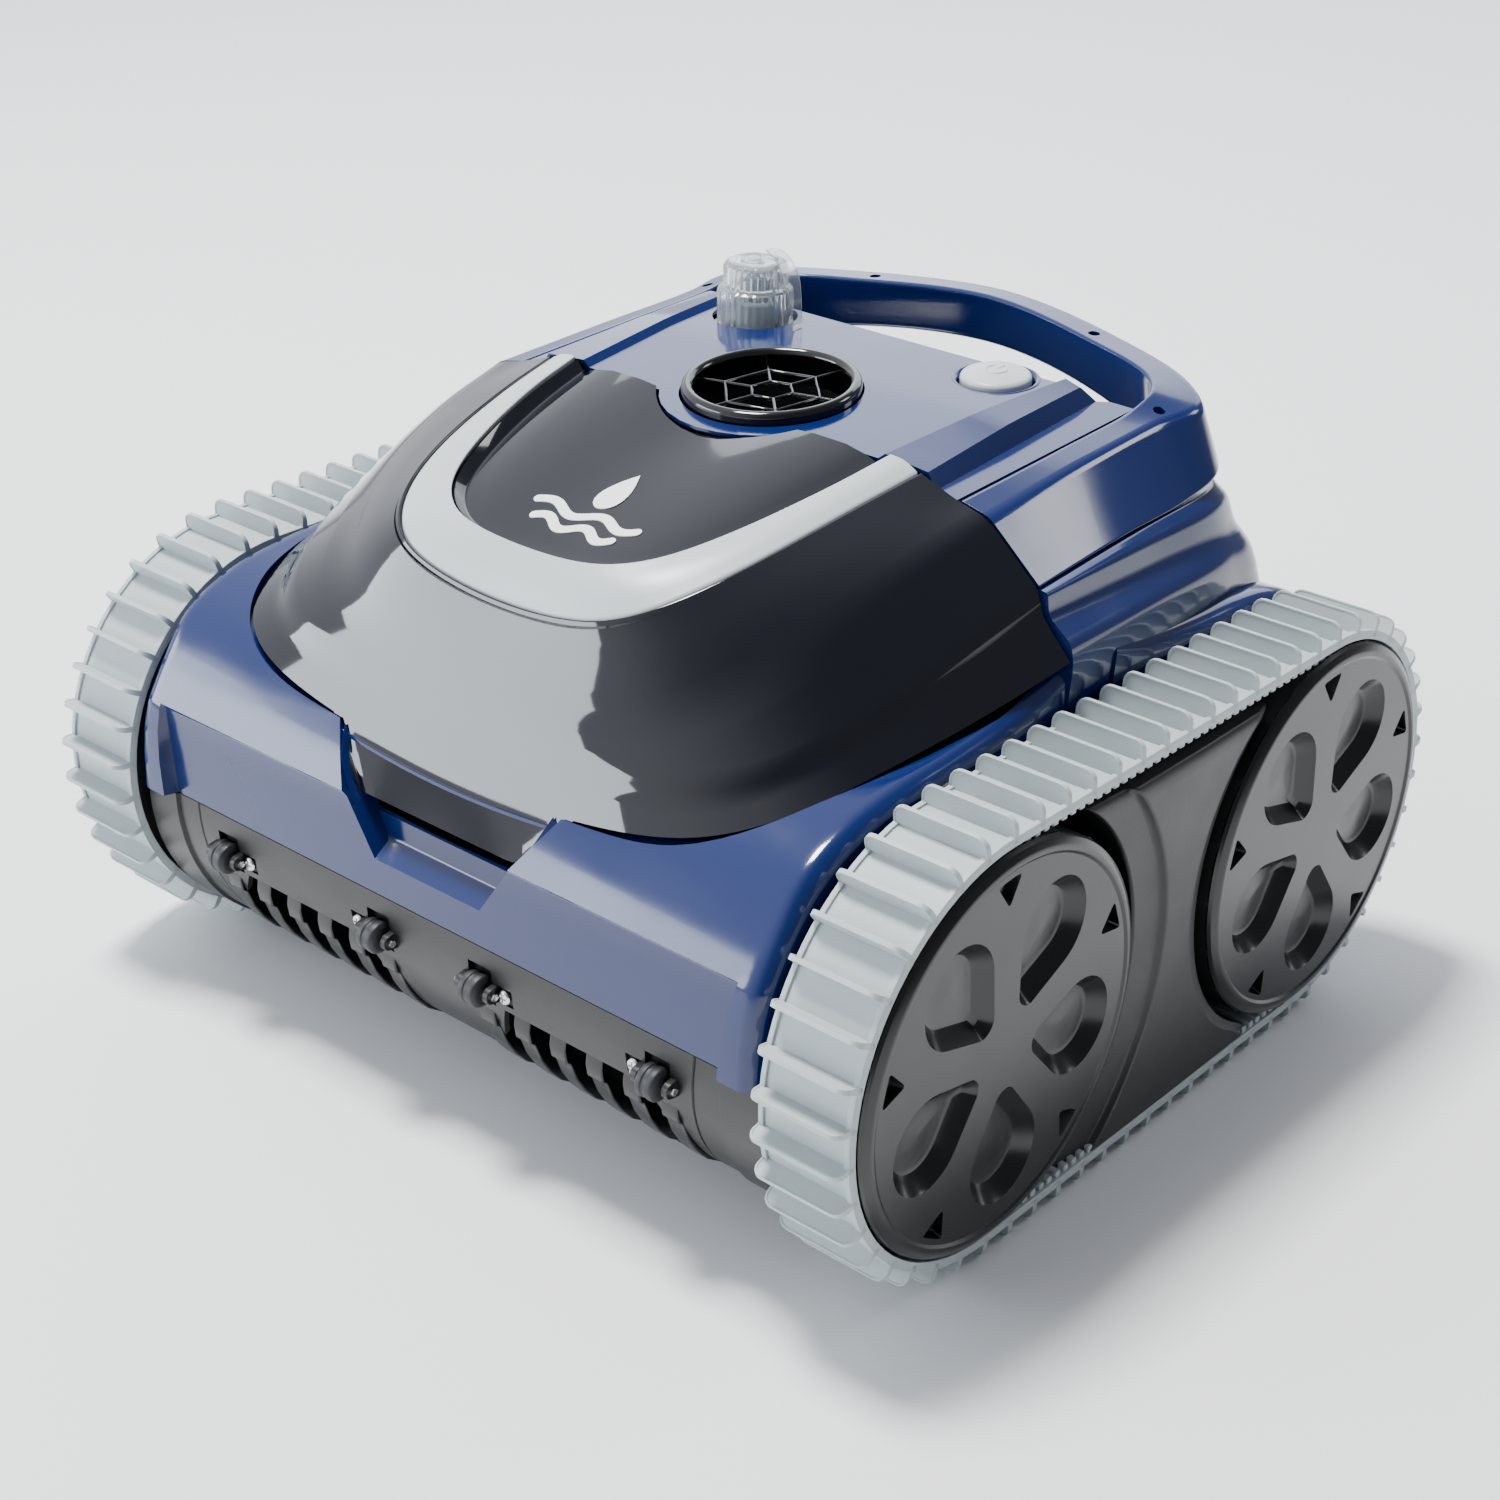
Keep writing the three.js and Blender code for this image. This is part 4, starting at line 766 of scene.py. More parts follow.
def lid_stations():
    """Stations round the lid, one of them exactly at each upper corner of the tongue."""
    edge = mirrored(LID_EDGE)
    stations = np.linspace(0, len(edge) - 1, (len(edge) - 1) * LID_STEPS + 1)
    for target, first in ((TONGUE_TOP_X, 3.0), (-TONGUE_TOP_X, 5.5)):
        fine = np.linspace(3, 6, 1200) + (first - 3)
        exact = fine[np.argmin(np.abs(run(edge, fine)[:, 0] - target))]
        stations[np.argmin(np.abs(stations - exact))] = exact
    return stations


def eased(line, reach):
    """Averages a line with its neighbours within a reach, which evens out its bends. Its ends stay."""
    even = line.copy()
    for i in range(1, len(line) - 1):
        span = min(reach, i, len(line) - 1 - i)
        weights = np.hanning(2 * span + 3)[1:-1]
        even[i] = (line[i - span : i + span + 1] * weights[:, None]).sum(axis=0) / weights.sum()
    return even


LID_STATIONS = lid_stations()
LID_LINES = {
    name: eased(run(mirrored(points), LID_STATIONS), LID_STEPS)
    for name, points in {
        "trim_outer": TRIM_OUTER,
        "trim_inner": TRIM_INNER,
        "shoulder": SHOULDER,
        "ridge": RIDGE,
        "crease": CREASE,
        "flange": FLANGE_ROOT,
        "edge": LID_EDGE,
    }.items()
}


def lid_arms():
    """Goose-neck arms that carry the lid round the hinge pins."""
    bend = [(HINGE_Y + 6.5 * math.cos(t), HINGE_Z + 6.5 * math.sin(t))
        for t in np.radians(np.linspace(-35, 150, 10))]
    outline = [(-33, 262), (-35, 240), (-28, 218), (-8, 206), (4, 205), (20, 226)] + bend
    outline += [(17, 240), (2, 216), (-5, 214), (-24, 224), (-28.5, 241), (-28, 262)]
    return [prism(outline, "x", side * HINGE_X - 3.5, side * HINGE_X + 3.5) for side in (-1, 1)]


def lid_sheet():
    """The lid's shell from the trim down to its edge, and the tongue at its front."""
    low = inset(LID_LINES["trim_outer"], 2.0, 5.0)
    order = [LID_LINES[n] for n in ("trim_outer", "shoulder", "ridge", "crease", "flange", "edge")]
    radii = (0, 0.8, 9, 10, 6, 5, 0)
    rows = [rounded([low[i]] + [line[i] for line in order], radii) for i in range(len(low))]
    body = sheet(rows)
    bottom_x, bottom_y, bottom_z = TONGUE_BOTTOM
    corner = 7.0
    tongue = []
    for top in LID_LINES["edge"]:
        if abs(top[0]) > TONGUE_TOP_X + 0.2:
            continue
        share = top[0] / TONGUE_TOP_X
        reach = max(0.0, abs(share) * bottom_x - (bottom_x - corner))
        rise = corner - math.sqrt(max(corner**2 - reach**2, 0.0))
        end = np.array([share * bottom_x, bottom_y, bottom_z + rise])
        tongue.append([top * (1 - t) + end * t for t in np.linspace(0, 1, 6)])
    return joined(body, sheet(tongue))


def build_lid(context):
    shell = shaped("lid_shell", lid_sheet(), (0, -60, 100), wall=2.6, edge=0.9, angle=40)
    arms = shaped("lid_arms", joined(*lid_arms()), edge=0.8)
    placed(merged("lid_shell", shell, arms), "lid_body", FINISHES["smoke"], "smoked_cover", "lid")


def build_lid_trim(context):
    """Crowned light band round the lid panel."""
    outer = inset(LID_LINES["trim_outer"], 1.2, 0.2)
    inner = LID_LINES["trim_inner"]
    rows = []
    for a, b in zip(outer, inner):
        across = b - a
        crown = (a + b) / 2 + np.array([0, 0, 1.4]) + np.array([a[0] * 0.006, (a[1] + 20) * 0.006, 0])
        foot = np.array([0, 0, 5.0])
        line = [a - foot, a, crown, b, b - foot - across * 0.12]
        rows.append(rounded(line, (0, 1.3, 8, 1.3, 0)))
    trim = shaped("lid_trim_band", sheet(rows, wrap=True, close=True), edge=0.5, angle=50)
    placed(trim, "lid_body", FINISHES["trim"], "light_grey_trim", "lid_trim")


PANEL_DROP = 5.5
PANEL_CENTRE_Z = 266.2


def panel_surface():
    """Coefficients of the smooth crowned surface that the lid panel follows."""
    edge = inset(LID_LINES["trim_inner"], 6.0, PANEL_DROP)
    points = np.vstack([edge, [(0, LID_REAR_Y, PANEL_CENTRE_Z)] * 12])
    return np.linalg.lstsq(panel_terms(points[:, 0], points[:, 1]), points[:, 2], rcond=None)[0]


def panel_terms(x, y):
    a, b = np.asarray(x) / 100, (np.asarray(y) - LID_REAR_Y) / 100
    return np.stack([np.ones_like(a), b, b * b, b**3, a * a, a * a * b, a**4], axis=-1)


PANEL_SURFACE = panel_surface()


def panel_z(x, y):
    return panel_terms(x, y) @ PANEL_SURFACE


def build_lid_panel(context):
    """Recessed gloss panel with its bevelled border, cut round the water outlet."""
    top = inset(LID_LINES["trim_inner"], 0.9, 1.6)
    foot = inset(LID_LINES["trim_inner"], 6.0, 0)
    foot[:, 2] = panel_z(foot[:, 0], foot[:, 1])
    lip = inset(LID_LINES["trim_inner"], 4.6, 0)
    lip[:, 2] = panel_z(lip[:, 0], lip[:, 1]) + 0.9
    centre = np.array([0, LID_REAR_Y, 0])
    rings = [top, lip, foot]
    for share in (0.93, 0.8, 0.6, 0.4, 0.2, 0.05):
        row = centre + (foot - centre) * share
        row[:, 2] = panel_z(row[:, 0], row[:, 1])
        rings.append(row)
    notch = deck_hole(OUTLET_RADIUS + OUTLET_BEZEL + 1.2, 230, 300, (0, OUTLET_Y), 96)
    panel = shaped(
        "lid_inner_panel", sheet(rings), (0, -60, 100), wall=2.2, cutters=[notch], edge=0.5, angle=45
    )
    placed(panel, "lid_body", FINISHES["smoke"], "smoked_cover", "lid_panel")


def laid_on_panel(outline, lift=0.35):
    """A thin flat shape with a curved outline, laid on the lid panel."""
    flat = [Vector((x, y, 0)) for x, y in outline]
    faces = tessellate_polygon([flat])
    heights = [float(panel_z(x, y)) for x, y in outline]
    upper = [(x, y, z + lift) for (x, y), z in zip(outline, heights)]
    lower = [(x, y, z - 0.2) for (x, y), z in zip(outline, heights)]
    n = len(outline)
    sides = [(i, (i + 1) % n, n + (i + 1) % n, n + i) for i in range(n)]
    return np.array(upper + lower), [tuple(f) for f in faces] + [tuple(n + i for i in reversed(f))
        for f in faces] + sides


def ribbon(centre_line, width):
    """Closed outline of a band of even width with round ends."""
    p = np.array(centre_line, float)
    along = np.gradient(p, axis=0)
    along /= np.linalg.norm(along, axis=1)[:, None]
    side = np.stack([-along[:, 1], along[:, 0]], axis=1) * width / 2
    along *= width / 2
    turns = np.linspace(0, math.pi, 8)[1:-1]
    start = [p[0] - along[0] * math.sin(t) + side[0] * math.cos(t) for t in turns]
    end = [p[-1] + along[-1] * math.sin(t) - side[-1] * math.cos(t) for t in turns]
    return list(p - side) + end + list((p + side)[::-1]) + start


def build_emblem(context):
    """A water drop over two waves, pad-printed in white."""
    cx, cy = 4.0, -96.0
    drop = [
        (cx - 0.5 + 8.4 * math.sin(t) * math.sin(t / 2) ** 1.1, cy + 8 + 12.5 * math.cos(t))
        for t in np.linspace(0, 2 * math.pi, 49)[:-1]
    ]
    shapes = [laid_on_panel(drop)]
    for offset, half in ((-11.0, 27.0), (-19.5, 21.0)):
        line = [(cx + x, cy + offset + 2.4 * math.sin(x / half * 2 * math.pi))
            for x in np.linspace(-half, half, 49)]
        shapes.append(laid_on_panel(ribbon(line, 4.2)))
    emblem = shaped("water_emblem", joined(*shapes), angle=60)
    placed(emblem, "lid_body", FINISHES["emblem"], "light_grey_trim")


# ---------------------------------------------------------------- the shell
FLANGE_LINE = [(-203.2, 98.2), (-202.7, 114.3), (-201, 127.5), (-198.2, 137.2), (-197.2, 139.4)]
PANEL_LINE = [(-196.5, 98.2), (-196.4, 114.3), (-196.2, 127.5), (-196.0, 137.2), (-197.2, 139.4)]
UPPER_LINE = [
    (-197.2, 139.4), (-188, 154.5), (-173, 173.5), (-148, 185.5), (-118, 190.6), (-90, 192.4),
    (-62, 195), (-40, 199.5), (-18, 206),
]
CORNER_ROUND = 8.0
PANEL_HALF = (158.7, 163.5)  # half width of the middle panel, at the seam and from 40 mm above it


def end_lines(end):
    """Side view of the shell at one end: the flanges' line and the middle panel's line, seam upwards."""
    upper = run([(y, z, 0) for y, z in UPPER_LINE], np.linspace(0, len(UPPER_LINE) - 1, 41))[1:, :2]
    flange = np.vstack([np.array(FLANGE_LINE), upper])
    middle = np.vstack([np.array(PANEL_LINE), upper])
    if end < 0:
        return flange, middle
    return flange * (-1, 1), middle * (-1, 1)


def notch_half(z):
    """Half width of the finger notch at a height."""
    (low, low_z), (high, high_z) = NOTCH_BOTTOM, NOTCH_TOP
    return low + (high - low) * share_of(z, low_z, high_z)


def shell_rows(end):
    """Rows of points across the shell from the seam to the middle, with the corner and side walls."""
    flange, middle = end_lines(end)
    along = np.gradient(flange, axis=0)
    along /= np.linalg.norm(along, axis=1)[:, None]
    normal = np.stack([along[:, 1], -along[:, 0]], axis=1)
    if normal[0, 0] * end < 0:
        normal *= -1
    rows = []
    for (fy, fz), (my, mz), (ny, nz) in zip(flange, middle, normal):
        edge = PANEL_HALF[0] + (PANEL_HALF[1] - PANEL_HALF[0]) * share_of(fz, 98.5, 138.5)
        notch = notch_half(mz)
        across = (0, notch * 0.5, notch, notch + 1.5, notch + (edge - notch) * 0.5, edge - 2)
        right = [(x, my, mz) for x in across]
        right += [(edge, my, mz), (edge + 1.6, fy, fz), (edge + 4, fy, fz)]
        for t in np.linspace(0, math.pi / 2, 7):
            back = CORNER_ROUND * (1 - math.cos(t))
            right.append(
                (BODY_HALF - CORNER_ROUND + CORNER_ROUND * math.sin(t), fy - ny * back, fz - nz * back)
            )
        y, z = right[-1][1:]
        for share in (0.03, 0.3, 0.6, 1.0):
            right.append((BODY_HALF, y * (1 - share * 0.6), z + (SEAM_Z - z) * share))
        rows.append([(-x, y, z) for x, y, z in reversed(right[1:])] + right)
    return rows


def shell_end(end):
    """One end of the shell, with the finger notch left open at the front."""
    rows = shell_rows(end)
    middle = len(rows[0]) // 2
    heights = [row[middle][2] for row in rows]

    def in_notch(i, j):
        low = heights[i] >= NOTCH_BOTTOM[1] - 0.1
        return end < 0 and low and heights[i + 1] <= NOTCH_TOP[1] + 9 and middle - 2 <= j < middle + 2

    return sheet(rows, skip=in_notch)


def finger_notch():
    """The pocket behind the lid's tongue: a sloping ledge, a stepped back wall and side walls."""
    _, front = end_lines(-1)
    back = [
        (-196.4, 114.3), (-187.5, 118.6), (-186.2, 121), (-185.4, 129), (-183.4, 130.4), (-180, 150),
        (-176, 172),
    ]
    rows = []
    for y, z in back:
        front_y = np.interp(z, front[:24, 1], front[:24, 0])
        half = notch_half(z)
        inner = half - (0 if z < 115 else 1.6)
        rows.append([(-half, front_y, z), (-inner, y, z), (0, y, z), (inner, y, z), (half, front_y, z)])
    return sheet(rows)


def tower_sheet():
    """Rear body between the lid and the seam, its ends tucked in under the lid."""
    stations = np.linspace(0, 10, 91)
    lines = [run(mirrored(level), stations) for level in TOWER_LEVELS]
    rows = [rounded([line[i] for line in lines], TOWER_RADII) for i in range(len(stations))]
    start = [(x - 16, y, z - 3) for x, y, z in rows[0]]
    end = [(x + 16, y, z - 3) for x, y, z in rows[-1]]
    return sheet([start] + rows + [end])


def lid_opening():
    """Prism inside the lid's lower edge, with the gap that shows round it."""
    edge = LID_LINES["edge"]
    widest = BODY_HALF - 5.5
    outline = [(float(np.clip(x + np.sign(x) * 1.0, -widest, widest)), min(y, LID_REAR_Y + 1.2) - 1.0)
        for x, y, _ in edge]
    return prism(outline, "z", 128, 320)


def lid_seat():
    """Ledge under the lid's edge that closes the gap from below."""
    rows = []
    for x, y, z in LID_LINES["edge"]:
        x = float(np.clip(x, -BODY_HALF + 4, BODY_HALF - 4))
        low = min(z, 190.0) - 5.5
        row = [(x * 1.012, y - 2.2, low)]
        for share, drop in ((0.93, 1), (0.925, 14)):
            row.append((x * share, LID_REAR_Y + (y - LID_REAR_Y) * share, low - drop))
        rows.append(row)
    return sheet(rows)


def build_shell(context):
    sizes = context.scene.pool_cleaner_sizes
    wall = sizes.shell_wall / MM
    edge = sizes.edge_round / MM
    hood = joined(shell_end(-1), finger_notch())
    front = shaped(
        "shell_front", hood, (0, 0, 120), wall=wall, cutters=[lid_opening()], edge=edge, angle=38
    )
    rear = shaped("shell_rear", shell_end(1), (0, 0, 120), wall=wall, edge=edge, angle=38)
    tower = shaped("shell_tower", tower_sheet(), (0, 60, 180), wall=wall, edge=edge, angle=40)
    seat = shaped("shell_seat", lid_seat(), (0, -60, 100), wall=1.5, angle=40)
    shell = merged("navy_shell", front, rear, tower, seat)
    placed(shell, "chassis", FINISHES["navy"], "navy_abs", "body_shell")


DECK_HALF = 120.3
BULGE_HALF = 38.6  # half width of the deck's front edge where it follows the outlet's bezel


def rib_lines(y):
    """Inner and outer side of the raised rib along the deck, at a place along the machine."""
    return 84 + (y + 15) / 108 * 8.5, 110 - (y + 24) / 109 * 5


def deck_height(x, y):
    """Height of the deck: a plate that rises rearwards, with a raised rib along each side."""
    plate = float(np.interp(y, (-40, -18.6, 40, 84, 94), (264.8, 266.9, 271.4, 272.6, 272.8)))
    valley = 259.9 + (y + 20) * 0.047
    inner, outer = rib_lines(y)
    places = (0, inner - 3.5, inner, outer - 4.5, outer, DECK_HALF)
    heights = (plate, plate, plate + 2.7, plate + 0.6, valley + 0.9, valley)
    return float(np.interp(abs(x), places, heights))


def deck_rows():
    """Columns of points from the deck's front edge to its rear, and on down behind it."""
    share = np.concatenate([np.linspace(0, 0.94, 16), [0.97, 1.0]])
    bulge = OUTLET_RADIUS + OUTLET_BEZEL
    columns = [("plate", key) for key in (0, 10, 20, 28, 34, BULGE_HALF, 39.2, 60)]
    columns += [(kind, 0) for kind in ("foot", "inner", "crest", "outer", "strip", "side")]
    grid = []
    for kind, key in columns:
        rear = {"outer": 100.0, "strip": 104.0, "side": 105.0}.get(kind, 93.5)
        front = TOWER_FRONT_Y
        if kind == "plate" and key <= BULGE_HALF:
            front = OUTLET_Y - math.sqrt(bulge**2 - key**2)
        column = []
        for s in share:
            y = front + (rear - front) * s
            inner, outer = rib_lines(y)
            x = {
                "plate": key,
                "foot": inner - 3.5,
                "inner": inner,
                "crest": outer - 4.5,
                "outer": outer,
                "strip": outer + 5,
                "side": DECK_HALF,
            }[kind]
            column.append((x, y, deck_height(x, y)))
        x, y, z = column[-1]
        column += [(x, y + 1.4, z - 0.8), (x, y + 2.6, z - 3.2), (x * 0.99, y + 6, z - 12)]
        column += [(x * 0.97, max(y + 12, 108), 238), (x * 0.92, 132, 232), (x * 0.8, 150, 228.5)]
        grid.append(column)
    left = [[(-x, y, z) for x, y, z in column] for column in reversed(grid[1:])]
    return left + grid


def deck_hole(radius, low, high, place, sides=64):
    """A round cutter through the deck."""
    return lathe([(radius, low), (radius, high)], (*place, 0), sides=sides)


def build_deck(context):
    sizes = context.scene.pool_cleaner_sizes
    holes = [
        deck_hole(OUTLET_RADIUS + 0.6, 240, 300, (0, OUTLET_Y), 96),
        deck_hole(BUTTON_RADIUS + 3.0, 250, 290, BUTTON),
        deck_hole(19.4, 250, 290, PORT),
    ]
    edge = sizes.edge_round / MM
    deck = shaped(
        "deck", sheet(deck_rows()), (0, 40, 200), wall=1.8, cutters=holes, edge=edge, angle=20
    )
    placed(deck, "chassis", FINISHES["navy"], "navy_abs", "top_panel")


def build_handle(context):
    """Carrying handle: flat top band, outer flank down to the seam, and the grip's inner wall."""
    stations = np.linspace(0, 12, 109)
    deck, ridge, seam = (run(mirrored([row[k] for row in HANDLE_PATH]), stations) for k in range(3))
    foot = np.stack([deck[:, 0] * 1.01, deck[:, 1] + 2.5, seam[:, 2] + 0.5], axis=1)
    rows = []
    for d, r, s, f in zip(deck, ridge, seam, foot):
        middle = (d + r) / 2
        line = [middle, r, s, f, d, middle]
        rows.append(rounded(line, (0, 3.2, 1.2, 2.5, 2.2, 0))[:-1])
    pits = [
        deck_hole(2.7, z - 4, z + 8, (side * x, y), 24) for x, y, z in HANDLE_SCREWS for side in (-1, 1)
    ]
    handle = shaped("handle", sheet(rows, wrap=True, close=True), cutters=pits, edge=0.7, angle=40)
    placed(handle, "chassis", FINISHES["navy"], "navy_abs", "handle_shell")


# ---------------------------------------------------------------- skirts, combs and hull
def skirt_point(end, radius, angle, x):
    """A point on the skirt: angle 0 is level with the wheel axis, and grows downwards."""
    return (x, end * (WHEELBASE / 2 + radius * math.cos(angle)), AXLE_Z + 0.8 - radius * math.sin(angle))


ARCH_INNER = 41.3  # the sides of an arch at its top, from the middle of the skirt
ARCH_OUTER = 116.4


def arch_span(z):
    """Inner and outer side of an arch at a height."""
    low = min(max((ARCH_TOP_Z - z) / (ARCH_TOP_Z - 36), 0), 1.6)
    return ARCH_INNER - (ARCH_INNER - 27) * low, ARCH_OUTER + (138 - ARCH_OUTER) * low


def skirt_radius(z):
    """Distance of the skirt's face from the wheel axis, at a height."""
    return 82.0 + 4.2 * share_of(SEAM_Z - z, 0, 60)


ROLLER_POCKET = (6.5, 72.0, 89.5)  # half width, lowest and highest point
SCREW_POCKET = (4.2, 75.2, 83.8)
CORNER_SEAM_X = 144.4
SKIRT_EDGE_X = 177.4


def skirt_columns():
    """Sideways places of the skirt's key lines, level with the rollers."""
    keys = [0.0, 12.0, 62.0, 80.0, 98.0, ARCH_INNER, ARCH_OUTER, 143.7, CORNER_SEAM_X, 145.1]
    keys += [158.0, 158.6, 168.0, SKIRT_EDGE_X]
    for centres, half in ((ROLLER_X, ROLLER_POCKET[0]), (SKIRT_SCREW_X, SCREW_POCKET[0])):
        for x in centres:
            if x > 0:
                keys += [x - half, x + half]
    return sorted(keys)


def skirt_sheet(end):
    """Curved skirt with its two arches and, at the front, the roller and screw recesses."""
    heights = [98.0, 95.5, ROLLER_POCKET[2], SCREW_POCKET[2], SCREW_POCKET[1], ROLLER_POCKET[1]]
    heights += list(np.linspace(69, 17.5, 15))
    keys = skirt_columns()
    rows = []
    for z in heights:
        radius = skirt_radius(z)
        angle = math.asin(min((AXLE_Z + 0.8 - z) / radius, 0.99))
        inner, outer = arch_span(z)
        seam = float(np.interp(z, (17, 26.5, 36, 96), (127, 133, 138.8, CORNER_SEAM_X)))
        outer = min(outer, seam - 5)
        fixed = (0, ARCH_INNER, ARCH_OUTER, CORNER_SEAM_X, SKIRT_EDGE_X)
        places = np.interp(keys, fixed, (0, inner, outer, seam, SKIRT_EDGE_X))
        row = []
        for key, at in zip(keys, places):
            groove = 0.9 if key == CORNER_SEAM_X else 0.0
            step = 1.4 if key > 158.3 else 0.0
            row.append(skirt_point(end, radius + step - groove, angle, float(at)))
        rows.append([(-x, y, z) for x, y, z in reversed(row[1:])] + row)
    middle = len(keys) - 1
    pockets = [(x, *ROLLER_POCKET) for x in ROLLER_X] + [(x, *SCREW_POCKET) for x in SKIRT_SCREW_X]

    def is_open(i, j):
        near, far = sorted((abs(j - middle), abs(j + 1 - middle)))
        low, high = heights[i + 1], heights[i]
        if high <= ARCH_TOP_Z + 0.1 and keys[near] > ARCH_INNER - 0.1 and keys[far] < ARCH_OUTER + 0.1:
            return True
        for x, half, bottom, top in pockets if end < 0 else ():
            across = keys[near] > abs(x) - half - 0.1 and keys[far] < abs(x) + half + 0.1
            if across and low > bottom - 0.1 and high < top + 0.1:
                return True
        return False

    return sheet(rows, skip=is_open)


def skirt_backing():
    """Plates that close the roller and screw recesses from behind, in a darker black than the skirt that
    paints shade inside the recesses.
    """
    plates = [box((x - 7.5, -193.5, 70.5), (x + 7.5, -190.5, 91)) for x in ROLLER_X]
    plates += [box((x - 5.6, -194.2, 74), (x + 5.6, -191.2, 85.2)) for x in SKIRT_SCREW_X]
    return joined(*plates)


def build_skirts(context):
    for end, name, node_name in ((-1, "skirt_front", "front_skirt"), (1, "skirt_rear", "rear_skirt")):
        skirt = shaped(name, skirt_sheet(end), (0, end * 60, 98), wall=3.0, edge=0.7, angle=30)
        placed(skirt, "chassis", FINISHES["skirt"], "dark_grey_abs", node_name)
        if end < 0:
            # The recess plates' darker black stands in for the shade inside the recesses; the plates
            # also close the openings.
            back = shaped("skirt_backing", skirt_backing(), edge=0.3)
            placed(back, "chassis", FINISHES["deep_black"], "dark_grey_abs")


RIB_FIRST_X = 29.5
RIB_PITCH = 19.8
RIBS_PER_ARCH = 6


def comb_profile(end):
    """Side view of one comb rib: an upright block, a step, and a face that curves down and back."""
    line = [(-186.2, 73.5), (-192.4, 73.5), (-193.4, 66), (-192.6, 60.2), (-190.6, 59.0), (-189.8, 57.2)]
    line += [(-187, 50), (-182, 42), (-175.4, 34.6), (-166, 28), (-156, 24.5)]
    line += [(-150, 27), (-160, 34), (-171, 44), (-178, 55)]
    return [(y * -end, z) for y, z in line]


def build_combs(context):
    """Rows of stiff ribs in the skirt's arches, which lift debris towards the inlet."""
    for end, name, node_name in ((-1, "comb_front", "front_comb"), (1, "comb_rear", "rear_comb")):
        outline = comb_profile(end)
        template = shaped("rib", prism(outline, "x", -4.6, 4.6), edge=0.9, angle=24, segments=2)
        reach = RIB_FIRST_X + (RIBS_PER_ARCH - 1) * RIB_PITCH
        arches = [([(side * RIB_FIRST_X, 0, 0), (side * reach, 0, 0)], False) for side in (-1, 1)]
        ribs = repeated(name, arches, template, RIBS_PER_ARCH, FINISHES["black"])
        smooth(ribs, 30)
        ribs.data.materials.clear()
        rows = [
            [skirt_point(end, 74.0, t, x) for x in (-147, 0, 147)] for t in np.linspace(0.3, 1.25, 10)
        ]
        backing = shaped("comb_backing", sheet(rows), (0, 0, 98), wall=2, edge=0.4)
        placed(merged(name, ribs, backing), "chassis", FINISHES["black"], "black_plastic", node_name)


HULL_RADIUS = 72.0  # of the curved ends, about the wheel axes
HULL_HALF = 176.6
FOOT_RADIUS = 12.5


def build_hull(context):
    """Lower hull with curved ends, and the runner feet under it."""
    arc = [
        (WHEELBASE / 2 + HULL_RADIUS * math.cos(t), AXLE_Z - HULL_RADIUS * math.sin(t))
        for t in np.linspace(0, 1.22, 12)
    ]
    arc.append((132, 14.4))
    outline = [(-y, z) for y, z in arc] + arc[::-1]
    rows = [
        [(x, y, z) for y, z in outline]
        for x in (-HULL_HALF, -HULL_HALF + 0.01, 0, HULL_HALF - 0.01, HULL_HALF)
    ]
    for row in (rows[0], rows[-1]):
        row[:] = [(x, y, z + (SEAM_Z - z) * 0.9) for x, y, z in row]
    inlet = box((-70, -112, 0), (70, -88, 40))
    hull = shaped("hull_shell", sheet(rows), (0, 0, 90), wall=3, cutters=[inlet], edge=0.9, angle=35)
    ball = [
        (FOOT_RADIUS * math.sin(t), -FOOT_RADIUS * math.cos(t))
        for t in np.linspace(0.02, math.pi - 0.02, 24)
    ]
    points, faces = lathe(ball, sides=40)
    feet = [
        (points * (1.0, 1.0, 0.78) + (x, y, 22.5), faces) for y in (-146, 146) for x in (-100, 0, 100)
    ]
    shell = merged("hull_shell", hull, shaped("feet", joined(*feet), angle=60))
    placed(shell, "chassis", FINISHES["skirt"], "dark_grey_abs", "lower_hull")


# ---------------------------------------------------------------- tracks, wheels and side plates
def belt_loop(radius, straight=14, curved=40):
    """Closed loop of points round both wheels, running rearwards along the top."""
    half = WHEELBASE / 2
    turns = np.linspace(0, math.pi, curved, endpoint=False)
    points = []
    for way in (1, -1):
        points += [
            (way * (WHEELBASE * k / straight - half), AXLE_Z + way * radius) for k in range(straight)
        ]
        points += [
            (way * (half + radius * math.sin(t)), AXLE_Z + way * radius * math.cos(t)) for t in turns
        ]
    return points


def belt_ring(inner, outer, near, far):
    """The belt's cross-section carried round the loop."""
    section = [(inner, near), (outer, near), (outer, far), (inner, far)]
    loops = [belt_loop(r) for r, _ in section]
    rows = [
        [(x, *loop[k]) for (_, x), loop in zip(section, loops)] for k in range(len(loops[0]))
    ]
    rows.append(rows[0])
    return sheet(rows, wrap=True)


def paddle_template(side, root, tip):
    """One paddle, outwards along +Z from the belt: a tapered fin with rounded outer corners and a
    raised border."""
    near, far = TRACK_INNER_X, TRACK_OUTER_X
    height = PADDLE_HEIGHT
    corner = 4.6
    outline = [(near, -1.5), (near, height - corner)]
    outline += [(near + corner - corner * math.cos(t), height - corner + corner * math.sin(t))
        for t in np.linspace(0, math.pi / 2, 5)[1:]]
    outline += [(far - corner + corner * math.sin(t), height - corner + corner * math.cos(t))
        for t in np.linspace(0, math.pi / 2, 5)]
    outline += [(far, -1.5)]
    centre = np.array([(near + far) / 2, height / 2])

    def layer(shrink, thick):
        row = []
        for x, z in outline:
            half = (root + (tip - root) * max(z, 0) / height) / 2
            p = centre + (np.array([x, z]) - centre) * (1 - shrink * np.array([0.045, 0.22]))
            row.append((p[0] * side, thick * half, max(p[1], -1.5)))
        return row

    steps = [(0, 0.72), (0.08, 1.0), (0.75, 1.0), (1.0, 0.76)]
    rows = [layer(shrink, -thick) for shrink, thick in reversed(steps)]
    rows += [layer(shrink, thick) for shrink, thick in steps]
    return sheet(rows, wrap=True, close=True)


